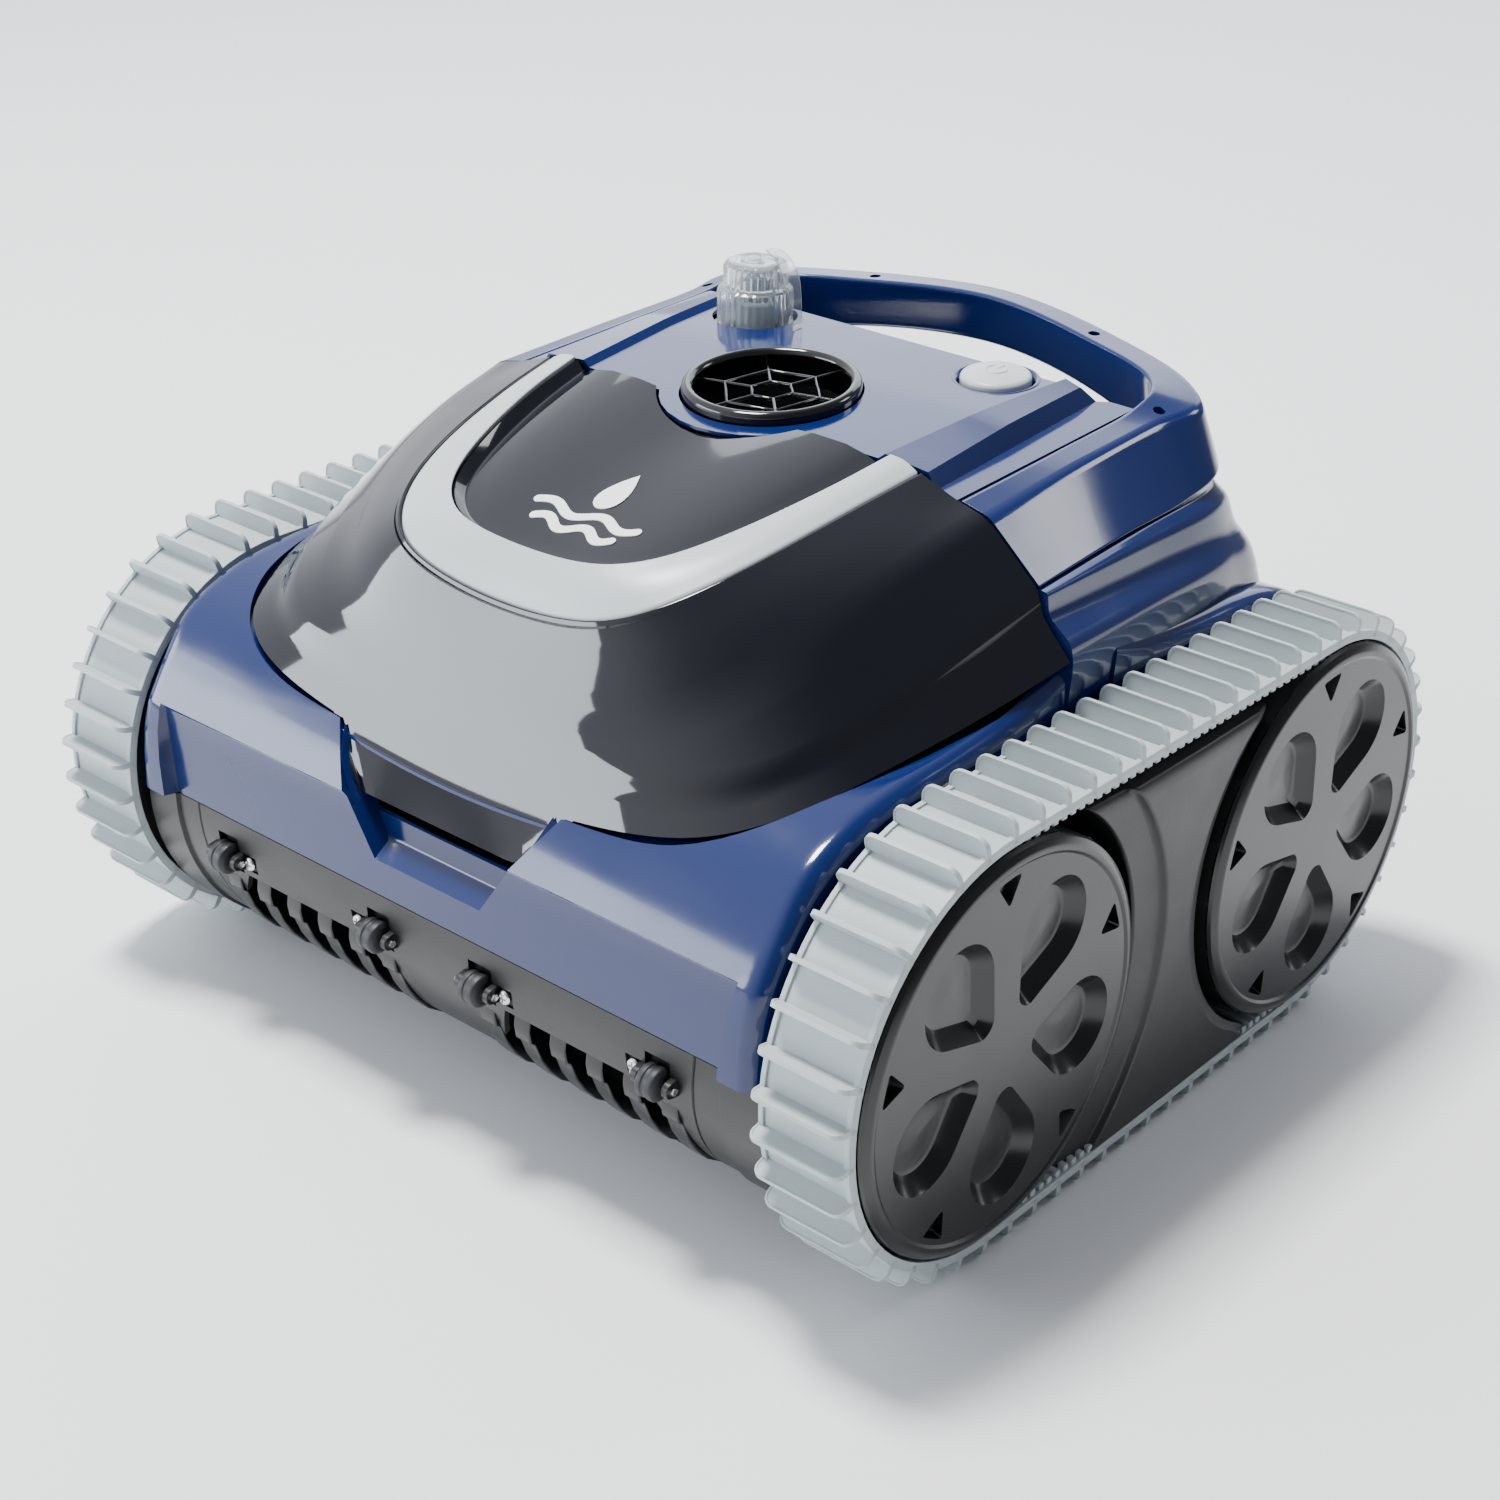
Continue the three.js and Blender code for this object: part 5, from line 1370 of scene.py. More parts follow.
def build_tracks(context):
    sizes = context.scene.pool_cleaner_sizes
    for side, label in ((-1, "left"), (1, "right")):
        fin = paddle_template(side, sizes.paddle_root / MM, sizes.paddle_tip / MM)
        template = mesh_object("paddle", fin)
        path = [(0, y, z) for y, z in belt_loop(BELT_OUTER, 58, 70)]
        paddles = repeated("paddles", [(path, True)], template, sizes.paddles, FINISHES["track"], True)
        tooth = shaped(
            "tooth", box((TRACK_INNER_X + 4, -1.5, -2.6), (TRACK_OUTER_X - 1.2, 1.5, 0.4)), edge=0.3,
            segments=1,
        )
        if side < 0:
            tooth.data.transform(Matrix.Scale(-1, 4, (1, 0, 0)))
            tooth.data.flip_normals()
        straight = WHEELBASE / 2 - 4
        lines = [
            ([(0, -straight, AXLE_Z + BELT_INNER), (0, straight, AXLE_Z + BELT_INNER)], False),
            ([(0, straight, AXLE_Z - BELT_INNER), (0, -straight, AXLE_Z - BELT_INNER)], False),
        ]
        teeth = repeated("teeth", lines, tooth, 40, FINISHES["track"], True)
        near, far = TRACK_INNER_X, TRACK_OUTER_X
        belt = joined(
            belt_ring(BELT_INNER, BELT_OUTER, side * near, side * far),
            belt_ring(BELT_OUTER - 0.2, BELT_OUTER + 1.0, side * (far - 2.4), side * far),
            belt_ring(BELT_OUTER - 0.2, BELT_OUTER + 1.0, side * near, side * (near + 2.4)),
        )
        band = shaped("belt", belt, edge=0.35, angle=50, segments=2)
        smooth(paddles, 30)
        for obj in (paddles, teeth):
            obj.data.materials.clear()
        placed(
            merged("track_belt_" + label, band, paddles, teeth), "chassis", FINISHES["track"],
            "track_elastomer", "track_" + label,
        )


def petal_line(shrink):
    """Outline of one large pocket on its spoke: a rounded egg, narrow towards the hub."""
    near, near_r, far, far_r = 25.0, 7.0 - shrink, 49.5, 20.6 - shrink
    if near_r < 2.4:
        near, near_r = near + 2.2 * (2.4 - near_r), 2.4
    tangent = math.acos((near_r - far_r) / (far - near))
    outer, inner = np.linspace(-tangent, tangent, 27), np.linspace(tangent, 2 * math.pi - tangent, 13)
    line = [(far + far_r * math.cos(t), far_r * math.sin(t)) for t in outer]
    return line + [(near + near_r * math.cos(t), near_r * math.sin(t)) for t in inner[1:-1]]


def wedge_line(shrink):
    """Outline of one small pocket near the rim: a triangle with rounded corners."""
    far = 75.5 - shrink * 0.7
    corners = [(63.5 + shrink, 0.0), (far, -7.5 + shrink), (far, 7.5 - shrink)]
    closed = np.array([corners[-1]] + corners + [corners[0]])
    line = []
    for back, corner, ahead in zip(closed, closed[1:], closed[2:]):
        a, b = (corner + (p - corner) / np.linalg.norm(p - corner) * 2.4 for p in (back, ahead))
        line += [(1 - t) ** 2 * a + 2 * t * (1 - t) * corner + t * t * b for t in np.linspace(0, 1, 5)]
    return line


def spoked(line, turn):
    """Points of (outwards, sideways) on a spoke, turned to the spoke's angle."""
    c, s = math.cos(turn), math.sin(turn)
    return [(r * c - w * s, r * s + w * c) for r, w in line]


PETAL_TURN = math.radians(58)
# Each pocket's wall from its edge down to its floor: how far in, and how far down.
PETAL_STEPS = ((0, 0), (1.0, 1.2), (4.2, 4.4), (6.2, 5.9), (8.4, 6.3))
WEDGE_STEPS = ((0, 0), (0.7, 1.8), (2.0, 3.6))
WEDGE_DEPTH = 3.6
COVER_SIDES = 120
COVER_BACK_X = 212.7
COVER_HUB = 20.0


def cover_rings(profile):
    """Circles about the wheel's axis, one for each (radius, place along the axis)."""
    return [[(x, a, b) for a, b in ring(0, 0, r, COVER_SIDES)] for r, x in profile]


def cover_shape(depth):
    """Wheel cover about its own axis, facing +X: raised rim, five large pockets and five small."""
    face, plate = COVER_FACE_X, 78.0
    level = face - 0.9
    pockets = []
    for i in range(5):
        turn = PETAL_TURN + 2 * math.pi * i / 5
        for line, steps, deep, at in (
            (petal_line, PETAL_STEPS, depth, turn),
            (wedge_line, WEDGE_STEPS, WEDGE_DEPTH, turn + math.pi / 5),
        ):
            scale = deep / steps[-1][1]
            rows = []
            for shrink, down in steps:
                rows.append([(level - down * scale, a, b) for a, b in spoked(line(shrink), at)])
            pockets.append(rows)
    outlines = [cover_rings([(plate, level)])[0]] + [rows[0][::-1] for rows in pockets]
    flat = [[Vector((a, b, 0)) for _, a, b in outline] for outline in outlines]
    faces = [tuple(f) for f in tessellate_polygon(flat)]
    shapes = [(np.array([p for outline in outlines for p in outline]), faces)]
    for rows in pockets:
        floor = np.mean(np.array(rows[-1]), axis=0) + (0.5, 0, 0)
        rows += [[tuple(np.array(p) * (1 - s) + floor * s) for p in rows[-1]] for s in (0.5, 0.97)]
        walls, wall_faces = sheet(rows, wrap=True)
        n = len(rows[0])
        wall_faces.append(tuple(len(walls) - n + k for k in range(n)))
        shapes.append((walls, wall_faces))
    rim = [(plate, level), (79.3, face - 0.1), (80.6, face), (81.8, face - 0.3), (84.2, face - 1.8)]
    rim += [(WHEEL_RADIUS, face - 3.2), (WHEEL_RADIUS, face - 4.0), (plate, face - 4.0)]
    back = [(plate, face - 4.0), (79.5, face - 5.0), (79.5, COVER_BACK_X), (COVER_HUB, COVER_BACK_X)]
    shapes += [sheet(cover_rings(profile), wrap=True) for profile in (rim, back)]
    shapes.append((np.array(cover_rings(back[-1:])[0]), [tuple(range(COVER_SIDES))]))
    return joined(*shapes)


def build_wheels(context):
    """Wheel covers with their sculpted pockets; the working wheels behind them keep their shape."""
    depth = context.scene.pool_cleaner_sizes.petal_depth / MM
    for end, y in (("front", -WHEELBASE / 2), ("rear", WHEELBASE / 2)):
        for side, label in ((1, "right"), (-1, "left")):
            shape = moved(cover_shape(depth), (0, y, AXLE_Z))
            if side < 0:
                shape = flipped(shape)
            name = f"{end}_{label}"
            cover = shaped("cover_" + name, shape, edge=0.55, angle=20, segments=2)
            placed(
                cover, f"wheel_{name}_body", FINISHES["black"], "black_plastic", "wheel_cover_" + name
            )


FRONT_SCOOP = 94.5  # radius that the plate keeps from the front wheel's axis
REAR_SCOOP = 90.0
FOLD_RADIUS = 111.0  # the crease, about the front wheel's axis


def build_side_plates(context):
    """Plate between the two wheels: a band along each wheel, a crease, and the raised middle."""
    heights = [8.2, 9.6, 12] + list(np.linspace(18, 166, 38)) + [170, 172.6, 173.8]
    rows = []
    for z in heights:
        rise = (z - AXLE_Z) ** 2
        low = max(
            -WHEELBASE / 2 + math.sqrt(max(FRONT_SCOOP**2 - rise, 0)), -76 + 0.12 * abs(z - AXLE_Z)
        )
        high = min(WHEELBASE / 2 - math.sqrt(max(REAR_SCOOP**2 - rise, 0)), 86 - 0.06 * abs(z - AXLE_Z))
        fold = -WHEELBASE / 2 + math.sqrt(max(FOLD_RADIUS**2 - rise, 400))
        fold = min(max(fold, low + 4), high - 12)
        points = [(low, 209), (low, 218.2), (low + 1.0, 219.4), (fold - 1.4, 220.6), (fold, 221.3)]
        points += [(fold + 1.6, 222.9), (fold + 3, 223.4), ((fold + high) / 2, 223.6), (high - 8, 223.2)]
        points += [(high - 5.6, 222.4), (high - 1.2, 221.6), (high, 220.6), (high, 209)]
        top = max(0, z - 171.5) * 0.9 + max(0, 10 - z) * 0.9
        rows.append([(x - top if x > 212 else x, y, z) for y, x in points])
    for side, label in ((1, "right"), (-1, "left")):
        shape = sheet(rows, wrap=True, close=True)
        if side < 0:
            shape = flipped(shape)
        plate = shaped("plate_" + label, shape, edge=0.7, angle=24, segments=2)
        near, far = sorted((side * 178.4, side * 209))
        posts = [box((near, -17, z - 12), (far, 17, z + 12)) for z in (52.4, 142.4)]
        post = shaped("posts", joined(*posts), edge=1)
        placed(
            merged("plate_" + label, plate, post), "chassis", FINISHES["skirt"], "dark_grey_abs",
            "side_plate_" + label,
        )


# ---------------------------------------------------------------- rollers and screws
EAR_RADIUS = 3.4


def build_rollers(context):
    """Guide rollers with a grooved tread, on steel pins carried by small ears."""
    half = [(6.5, 0.9), (7.0, 1.3), (7.0, 3.2), (6.6, 4.0), (5.6, 4.6), (4.6, 5.0), (1.75, 5.0)]
    profile = [(r, -h) for r, h in reversed(half)] + half
    for i, x in enumerate(ROLLER_X, 1):
        shape = lathe(profile, (x, ROLLER_Y, ROLLER_Z), "x", 48, hoop=True)
        tread = shaped(f"roller_{i}", shape, edge=0.25, angle=30, segments=2)
        placed(
            tread, f"guide_roller_{i}_body", FINISHES["rubber"], "black_elastomer", f"guide_roller_{i}"
        )
        outline = [
            (ROLLER_Y + EAR_RADIUS * math.cos(t), ROLLER_Z + EAR_RADIUS * math.sin(t))
            for t in np.linspace(math.pi / 2, 3 * math.pi / 2, 13)
        ]
        outline += [(-191.5, ROLLER_Z - 4.6), (-191.5, ROLLER_Z + 4.6)]
        ears = [prism(outline, "x", *sorted((x + side * 6.4, x + side * 9.6))) for side in (-1, 1)]
        mount = shaped(f"roller_ears_{i}", joined(*ears), edge=0.4)
        placed(mount, "chassis", FINISHES["skirt"], "dark_grey_abs")


def build_screws(context):
    """Cross-head screws beside the rollers."""
    profile = [(0.01, -189.5), (1.5, -189.5), (1.5, -195.2), (3.1, -195.3), (3.2, -196.3)]
    profile += [(2.7, -197.0), (1.6, -197.35), (0.01, -197.4)]
    slots = [box((-a, -199, -b), (a, -196.4, b)) for a, b in ((1.9, 0.42), (0.42, 1.9))]
    shape = lathe(profile, axis="y", sides=32)
    template = shaped("screw", shape, cutters=slots, edge=0.15, angle=35, segments=1)
    pairs = [
        ([(x, 0, ROLLER_Z) for x in pair], False) for pair in (SKIRT_SCREW_X[:2], SKIRT_SCREW_X[2:])
    ]
    screws = repeated("skirt_screws", pairs, template, 2, FINISHES["steel"])
    smooth(screws, 30)
    stands_for = [f"skirt_screw_{i}" for i in (1, 2, 3, 4)]
    placed(screws, "chassis", FINISHES["steel"], "stainless_steel", *stands_for)


# ---------------------------------------------------------------- outlet, button and port
def tilted(obj, pivot=(0, OUTLET_Y, 271.5), angle=OUTLET_TILT):
    """Leans a piece back with the slope of the deck."""
    point = Vector(pivot) * MM
    obj.data.transform(
        Matrix.Translation(point) @ Matrix.Rotation(angle, 4, "X") @ Matrix.Translation(-point)
    )
    return obj


GRILLE_HEXAGONS = (9.8, 22.6)  # radii of the bars' two hexagons
GRILLE_TURN = math.radians(14)


def build_outlet(context):
    """Outlet grille: a rounded gloss rim, and bars in two hexagons with six spokes."""
    top = 270.2
    profile = [(OUTLET_RADIUS - 5.4, top - 12)]
    profile += [
        (OUTLET_RADIUS - 2.9 + 2.7 * math.cos(t), top + 1.2 + 2.7 * math.sin(t))
        for t in np.linspace(math.pi, 0, 17)
    ]
    profile += [(OUTLET_RADIUS - 0.2, top - 3), (OUTLET_RADIUS - 0.2, top - 12)]
    shape = lathe(profile, (0, OUTLET_Y, 0), sides=128, hoop=True)
    rim = shaped("outlet_rim", shape, edge=0.4, angle=40, segments=2)
    level = top - 1.6
    small, large = GRILLE_HEXAGONS
    lines = []
    for radius in (small, large):
        lines.append(([(a, b, level) for a, b in ring(0, OUTLET_Y, radius, 6, GRILLE_TURN)], True))
    for k in range(6):
        t = GRILLE_TURN + k * math.pi / 3
        ends = (small, OUTLET_RADIUS - 4.5)
        lines.append(([(r * math.cos(t), OUTLET_Y + r * math.sin(t), level) for r in ends], False))
    thickness = context.scene.pool_cleaner_sizes.grille_bar / MM
    grid = bars("outlet_bars", lines, thickness / 2, FINISHES["gloss_black"])
    grid.data.materials.clear()
    grille = tilted(merged("outlet_rim", rim, grid))
    placed(grille, "chassis", FINISHES["gloss_black"], "black_plastic", "outlet_grille")
    finish_node("outlet_duct", "deep_black")


DECK_TOP = 272.4


def build_button(context):
    """Power button: a soft-edged dome with a raised power sign, in a ringed cup."""
    x, y = BUTTON
    radius, top = BUTTON_RADIUS, DECK_TOP
    profile = [(0.01, top - 12), (4, top - 12), (4, top - 5), (radius - 0.6, top - 5)]
    profile += [(radius, top - 4), (radius, top + 0.6)]
    profile += [
        (radius - 2.6 + 2.6 * math.cos(t), top + 0.6 + 2.3 * math.sin(t))
        for t in np.linspace(0, math.pi / 2, 7)[1:]
    ]
    profile += [(r, top + 2.9 + 1.5 * (1 - (r / (radius - 2.6)) ** 2)) for r in (10, 7.5, 5, 2.5, 0.01)]
    dome = shaped("button_dome", lathe(profile, (x, y, 0), sides=72), edge=0.3, angle=40)
    level = top + 4.0
    arc = np.linspace(math.radians(38), math.radians(322), 25)
    mark = [(x + 4.6 * math.sin(t), y + 4.6 * math.cos(t), level) for t in arc]
    stem = [(x, y + 5.8, level), (x, y + 0.8, level)]
    sign = bars("power_sign", [(mark, False), (stem, False)], 0.62, FINISHES["trim"])
    sign.data.materials.clear()
    cup = [(4.3, -10), (radius + 0.6, -10), (radius + 0.7, -1.6), (radius + 1.3, -0.4)]
    cup += [(radius + 2.4, 0.5), (radius + 3.4, 0.35), (radius + 4.0, -0.5)]
    cup += [(radius + 2.6, -1.5), (radius + 2.6, -12), (4.3, -12)]
    shape = lathe([(r, top + h) for r, h in cup], (x, y, 0), sides=72, hoop=True)
    surround = shaped("button_surround", shape, edge=0.2, angle=50)
    for piece, body, finish, slot, stands_for in (
        (
            merged("button_dome", dome, sign), "power_button_body", "trim", "light_grey_trim",
            "power_button",
        ),
        (surround, "chassis", "navy", "navy_abs", "button_cup"),
    ):
        placed(tilted(piece, (x, y, top), OUTLET_TILT * 0.6), body, FINISHES[finish], slot, stands_for)


def build_port(context):
    """Charging port: a clear fluted cap with a curled top, its strap, and the socket under it."""
    x, y = PORT
    foot, collar, crown, flutes = 269.4, 17.4, 14.9, 30
    # Radius, height above the foot and depth of the flutes: up the outside, then down the inside.
    wall = [(collar - 2.4, 0, 0), (collar - 0.8, 0, 0.8), (collar - 0.8, 1.5, 0.8)]
    wall += [(collar - 0.8, 14.5, 0.8), (collar - 1.0, 16.2, 0.5), (collar - 2.2, 17.2, 0)]
    wall += [(crown - 0.6, 17.6, 0), (crown - 0.7, 18.4, 0.6), (crown - 0.7, 26.0, 0.6)]
    wall += [(crown - 1.4, 27.8, 0.3), (crown - 3.2, 28.8, 0), (6, 28.6, 0), (0.01, 28.5, 0)]
    wall += [(0.01, 26.4, 0), (crown - 3.0, 26.4, 0), (crown - 3.0, 18.0, 0)]
    wall += [(collar - 3.4, 15.6, 0), (collar - 3.4, 0, 0)]

    def ripple(angle, index):
        return wall[index][2] * (0.5 + 0.5 * math.cos(angle * flutes))

    profile = [(r, foot + h) for r, h, _ in wall]
    shape = lathe(profile, (x, y, 0), sides=flutes * 8, ripple=ripple)
    cap = shaped("cap_shell", shape, angle=38)
    curl = []
    for t in np.linspace(0, 1, 40):
        angle = math.radians(40) + t * math.radians(430)
        r = 9.4 * (1 - t) + 1.6 * t
        curl.append((x + r * math.cos(angle), y + r * math.sin(angle), foot + 28.9 + 1.2 * t))
    swirl = bars("cap_curl", [(curl, False)], 0.9, FINISHES["clear"])
    swirl.data.materials.clear()
    placed(merged("cap_shell", cap, swirl), "port_cap_body", FINISHES["clear"], "clear_cap", "port_cap")

    centre = [(8.4, 1.5), (6.2, 14), (3.2, 24), (-1.5, 30), (-7, 32.8), (-11, 32.4)]
    line = run([(collar + a, 0, b) for a, b in centre], np.linspace(0, 5, 31))
    rows = []
    for k, (a, _, b) in enumerate(line):
        half = 5.2 * math.sqrt(max(1 - (k / 30) ** 3.0, 0.04)) * (0.55 + 0.45 * min(k / 9, 1))
        rows.append([(x + a, y + w * half, 272.0 + b) for w in (-1, -0.5, 0, 0.5, 1)])
    strap = shaped("strap_leaf", sheet(rows), (x, y, 285), wall=0.7, edge=0.2)
    placed(strap, "chassis", FINISHES["clear"], "clear_cap", "cap_strap")

    well = [(6.0, -9), (collar + 1.2, -9), (collar + 1.2, -0.6), (crown - 2, -0.6)]
    well += [(crown - 3.6, 1), (crown - 3.6, 10.5), (crown - 4.6, 11.4), (crown - 6.5, 11.4)]
    well += [(crown - 6.8, 3), (6.0, 3)]
    pin = [(0.01, -6), (1.4, -6), (1.4, 8), (0.9, 8.8), (0.01, 9)]
    shapes = [lathe([(r, foot + h) for r, h in well], (x, y, 0), sides=64, hoop=True)]
    for shift in (-3.6, 3.6):
        shapes.append(lathe([(r, foot + h) for r, h in pin], (x + shift, y, 0), sides=20))
    base = shaped("socket_body", joined(*shapes), edge=0.3, angle=40)
    placed(base, "chassis", FINISHES["basket"], "black_plastic", "charge_socket")


# ---------------------------------------------------------------- pieces that keep their working shape
WHEEL_PLACES = ("front_left", "front_right", "rear_left", "rear_right")
INNER_FINISHES = {
    "filter_basket": "basket",
    "basket_handle": "basket",
    "inlet_flap": "rubber",
    "dry_box": "deep_black",
    "battery_pack": "wrap",
    "control_board": "board",
    "pump_motor": "motor",
    "impeller": "basket",
    "drive_motor_left": "motor",
    "drive_motor_right": "motor",
    "lid_hinge_pin_left": "steel",
    "lid_hinge_pin_right": "steel",
    **{f"roller_pin_{i}": "steel" for i in (1, 2, 3, 4)},
    **{f"wheel_{corner}": "deep_black" for corner in WHEEL_PLACES},
    **{f"axle_{corner}": "steel" for corner in WHEEL_PLACES},
}


def finish_node(name, finish):
    obj = NODES[name]
    for slot in obj.material_slots:
        slot.material = FINISHES[finish]
    if not obj.material_slots:
        obj.data.materials.append(FINISHES[finish])


def build_inner(context):
    """Finishes for the working pieces that keep their own shape."""
    for name, finish in INNER_FINISHES.items():
        finish_node(name, finish)


# ---------------------------------------------------------------- stage
AIM = (0.0, 0.0, 0.12)  # every light points here
LIGHTS = (
    # name, place, width and height, power in watts, tint
    ("rear softbox", (-1.3, 2.6, 1.45), (2.8, 1.5), 30, (0.86, 0.91, 1.0)),
    ("front softbox", (-1.75, -1.75, 0.62), (1.7, 0.7), 40, (0.86, 0.93, 1.0)),
    ("right rear softbox", (1.3, 2.3, 1.8), (0.7, 0.7), 12, (1.0, 1.0, 1.0)),
    ("high fill", (-0.9, -0.2, 3.4), (0.8, 0.8), 230, (1.0, 0.99, 0.97)),
)
LIGHT_SIDE = (1.35, 1.4, 1.5)
DARK_SIDE = (0.22, 0.23, 0.26)


def area_light(name, where, size, power, colour):
    data = bpy.data.lights.new(name, "AREA")
    data.shape = "RECTANGLE"
    data.size, data.size_y = size
    data.energy = power
    data.color = colour
    light = bpy.data.objects.new(name, data)
    light.location = where
    light.rotation_euler = (Vector(AIM) - Vector(where)).to_track_quat("-Z", "Y").to_euler()
    bpy.context.scene.collection.objects.link(light)


FLOOR_HALF = 9000
CAMERA_PLACE = (0.67112, -0.78823, 0.63081)
CAMERA_AZIMUTH = math.radians(40.390)
CAMERA_ELEVATION = math.radians(27.113)
CAMERA_ROLL = math.radians(1.229)
CAMERA_LENS = 61.78


def build_stage(context):
    """Pale seamless floor, soft studio lights and the camera."""
    corners = [(x * FLOOR_HALF, y * FLOOR_HALF, 0) for x, y in ((-1, -1), (1, -1), (1, 1), (-1, 1))]
    floor = mesh_object("studio_floor", (corners, [(0, 1, 2, 3)]))
    material, tree, where = start_material("Matt white paper sweep")
    fibre = node(tree, "ShaderNodeTexNoise", {"Vector": where, "Scale": per_metre(2), "Detail": 4.0})
    bump = node(
        tree, "ShaderNodeBump", {"Height": fibre.outputs["Fac"], "Strength": 0.05, "Distance": 0.0002}
    )
    paper = node(
        tree, "ShaderNodeBsdfPrincipled",
        {"Base Color": linear("#f3f4f5"), "Roughness": 0.75, "Normal": bump.outputs["Normal"]},
    )
    end_material(tree, paper)
    floor.data.materials.append(material)

    for name, where, size, power, colour in LIGHTS:
        area_light(name, where, size, power, colour)
    world = bpy.data.worlds.new("Studio")
    world.use_nodes = True
    tree = world.node_tree
    tree.nodes.clear()
    direction = node(tree, "ShaderNodeTexCoord").outputs["Generated"]
    split = node(tree, "ShaderNodeSeparateXYZ", {"Vector": direction})
    # The room is bright on the machine's left and falls off to near darkness on its right.
    side = node(tree, "ShaderNodeMath", {0: split.outputs["X"], 1: -0.9}, operation="MULTIPLY")
    rear = node(tree, "ShaderNodeMath", {0: split.outputs["Y"], 1: -0.25}, operation="MULTIPLY")
    turn = node(tree, "ShaderNodeMath", {0: side.outputs[0], 1: rear.outputs[0]}, operation="ADD")
    lift = node(tree, "ShaderNodeMath", {0: turn.outputs[0], 1: 1.0}, operation="ADD")
    half = node(tree, "ShaderNodeMath", {0: lift.outputs[0], 1: 0.5}, operation="MULTIPLY")
    ramp = node(tree, "ShaderNodeValToRGB", {"Fac": half.outputs[0]})
    ramp.color_ramp.interpolation = "EASE"
    stops = ramp.color_ramp.elements
    stops[0].position, stops[0].color = 0.3, (*DARK_SIDE, 1)
    stops[1].position, stops[1].color = 0.86, (*LIGHT_SIDE, 1)
    back = node(tree, "ShaderNodeBackground", {"Color": ramp.outputs["Color"], "Strength": 1.0})
    node(tree, "ShaderNodeOutputWorld", {"Surface": back.outputs["Background"]})
    context.scene.world = world

    ca, sa = math.cos(CAMERA_AZIMUTH), math.sin(CAMERA_AZIMUTH)
    ce, se = math.cos(CAMERA_ELEVATION), math.sin(CAMERA_ELEVATION)
    right = Vector((ca, sa, 0))
    back_axis = Vector((sa * ce, -ca * ce, se))
    up = back_axis.cross(right)
    cr, sr = math.cos(CAMERA_ROLL), math.sin(CAMERA_ROLL)
    rolled_right = right * cr + up * sr
    rolled_up = up * cr - right * sr
    camera = bpy.data.objects.new("camera", bpy.data.cameras.new("camera"))
    camera.data.lens = CAMERA_LENS
    camera.data.sensor_width = 36
    camera.data.clip_start = 0.01
    place = Matrix((rolled_right, rolled_up, back_axis)).transposed().to_4x4()
    place.translation = Vector(CAMERA_PLACE)
    camera.matrix_world = place
    context.scene.collection.objects.link(camera)
    context.scene.camera = camera


# ---------------------------------------------------------------- operators, panel and main
def build_operator(key, label, description, build):
    """An operator class for one piece, or one group of like pieces."""

    def execute(self, context):
        build(context)
        return {"FINISHED"}

    return type(
        "POOLCLEANER_OT_" + key,
        (bpy.types.Operator,),
        {
            "bl_idname": "poolcleaner." + key, "bl_label": label, "__doc__": description,
            "bl_options": {"REGISTER", "UNDO"}, "execute": execute,
        },
    )


def build_finishes(context):
    FINISHES.update(make_finishes(context.scene.pool_cleaner_colours))


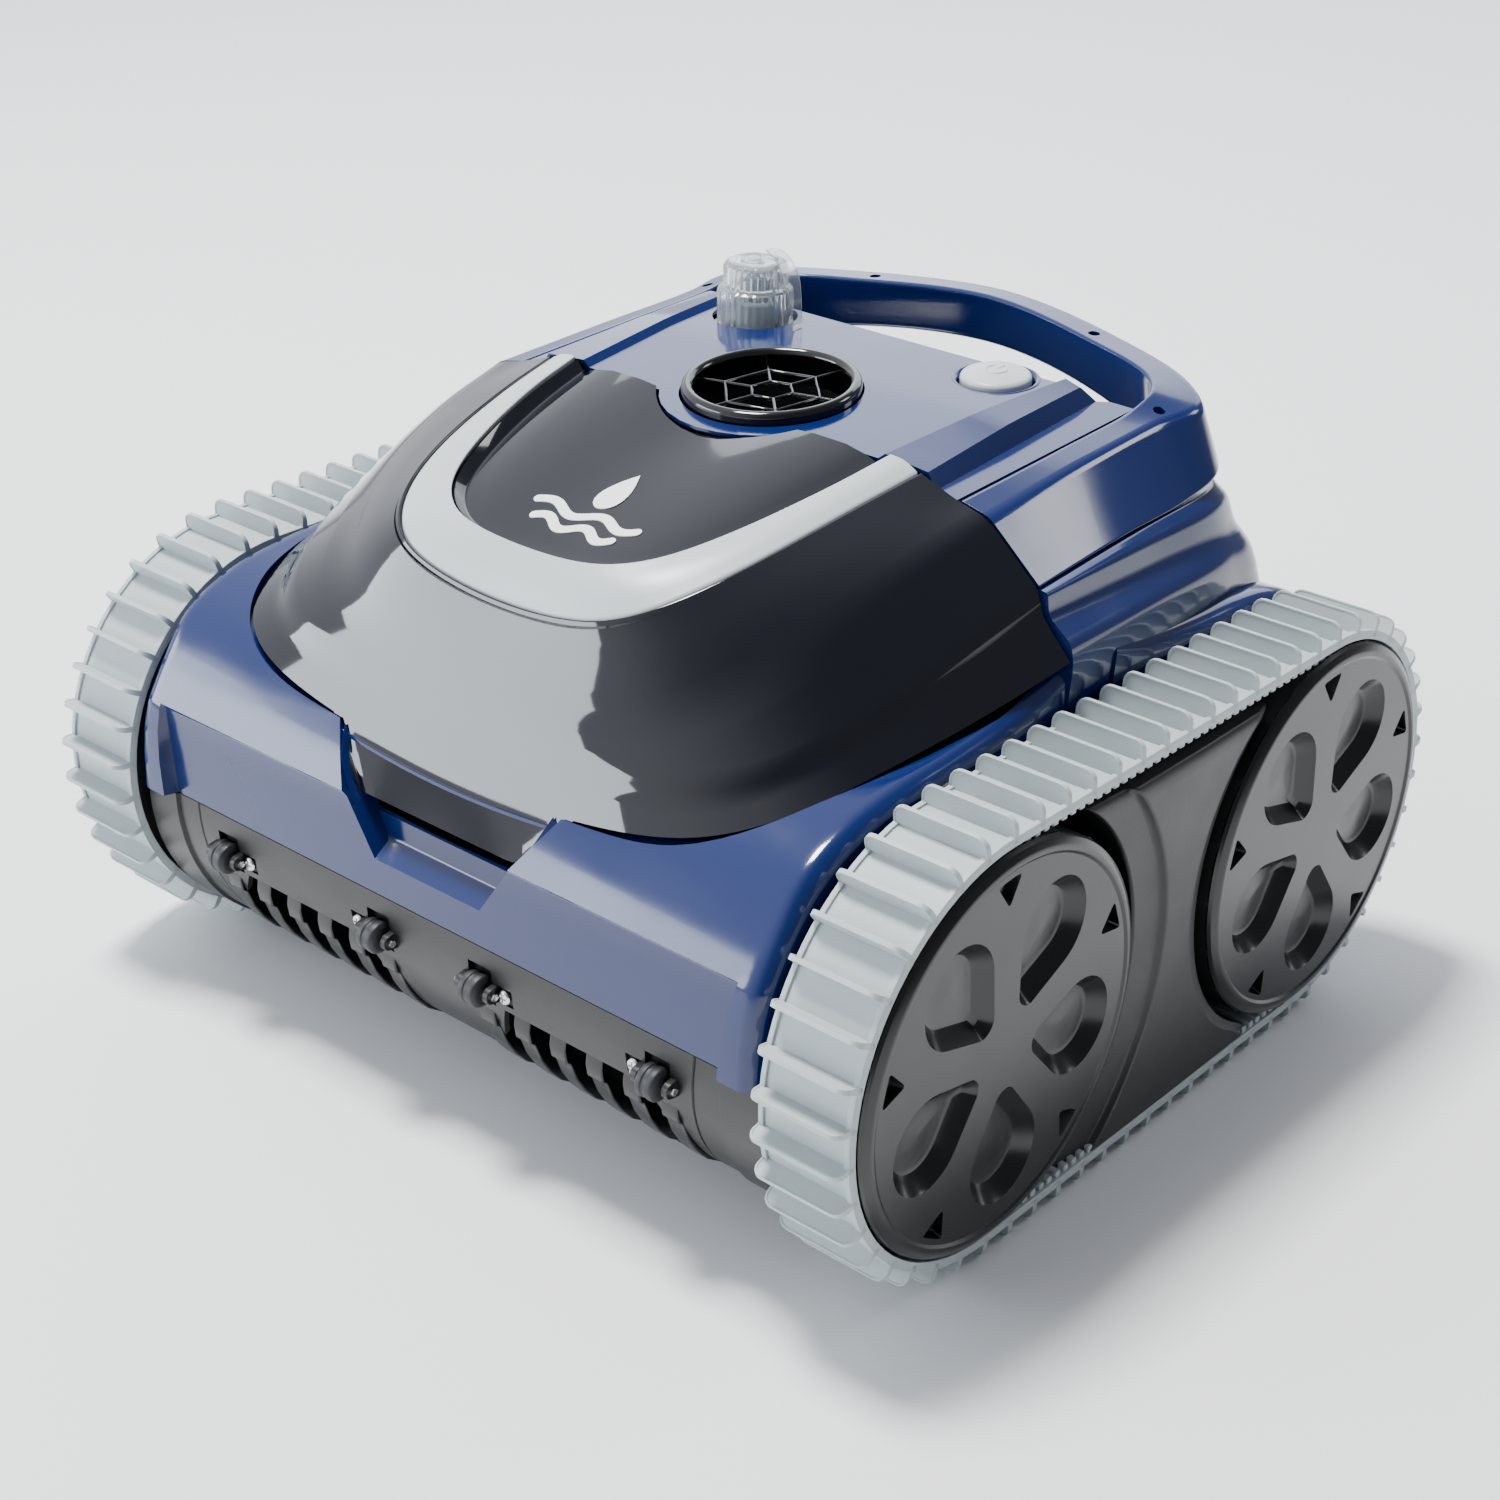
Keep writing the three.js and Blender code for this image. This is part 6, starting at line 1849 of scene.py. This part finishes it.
OPERATORS = [
    build_operator(*row)
    for row in (
        ("finishes", "Make finishes", "Make every plastic, rubber and metal finish", build_finishes),
        ("shell", "Build shell", "Build the moulded shell between the tracks", build_shell),
        ("deck", "Build deck", "Build the deck with its side ribs and openings", build_deck),
        ("handle", "Build handle", "Build the carrying handle", build_handle),
        ("lid", "Build lid", "Build the smoked lid and its hinge arms", build_lid),
        ("lid_trim", "Build lid trim", "Build the light band round the lid panel", build_lid_trim),
        ("lid_panel", "Build lid panel", "Build the recessed lid panel", build_lid_panel),
        ("emblem", "Print emblem", "Lay the water emblem on the lid panel", build_emblem),
        ("skirts", "Build skirts", "Build the curved end skirts", build_skirts),
        ("combs", "Build combs", "Build the ribs in the skirts' arches", build_combs),
        ("hull", "Build hull", "Build the lower hull and its runner feet", build_hull),
        ("tracks", "Build tracks", "Build both paddled tracks", build_tracks),
        ("wheels", "Build wheel covers", "Build the four sculpted wheel covers", build_wheels),
        ("side_plates", "Build side plates", "Build the plates between the wheels", build_side_plates),
        ("rollers", "Build rollers", "Build the guide rollers and their ears", build_rollers),
        ("screws", "Build screws", "Build the skirt's cross-head screws", build_screws),
        ("outlet", "Build outlet", "Build the outlet grille", build_outlet),
        ("button", "Build button", "Build the power button and its cup", build_button),
        ("port", "Build port", "Build the charging port, its cap and strap", build_port),
        ("inner", "Finish inner pieces", "Finish the pieces that keep their working shape", build_inner),
        ("stage", "Build stage", "Build the floor, lights and camera", build_stage),
    )
]


class POOLCLEANER_PT_panel(bpy.types.Panel):
    """Lists the machine's settings and pieces"""

    bl_idname = "POOLCLEANER_PT_panel"
    bl_label = "Pool cleaner"
    bl_space_type = "VIEW_3D"
    bl_region_type = "UI"
    bl_category = "Pool cleaner"

    def draw(self, context):
        layout = self.layout
        for settings in (context.scene.pool_cleaner_sizes, context.scene.pool_cleaner_colours):
            column = layout.column()
            for name in settings.__annotations__:
                column.prop(settings, name)
        for operator in OPERATORS:
            layout.operator(operator.bl_idname)


CLASSES = [CleanerColours, CleanerSizes, *OPERATORS, POOLCLEANER_PT_panel]


def register():
    for cls in CLASSES:
        bpy.utils.register_class(cls)
    bpy.types.Scene.pool_cleaner_colours = bpy.props.PointerProperty(type=CleanerColours)
    bpy.types.Scene.pool_cleaner_sizes = bpy.props.PointerProperty(type=CleanerSizes)


def unregister():
    del bpy.types.Scene.pool_cleaner_sizes
    del bpy.types.Scene.pool_cleaner_colours
    for cls in reversed(CLASSES):
        bpy.utils.unregister_class(cls)


def main():
    register()
    for operator in OPERATORS:
        getattr(bpy.ops.poolcleaner, operator.bl_idname.split(".")[1])()


if __name__ == "__main__":
    main()
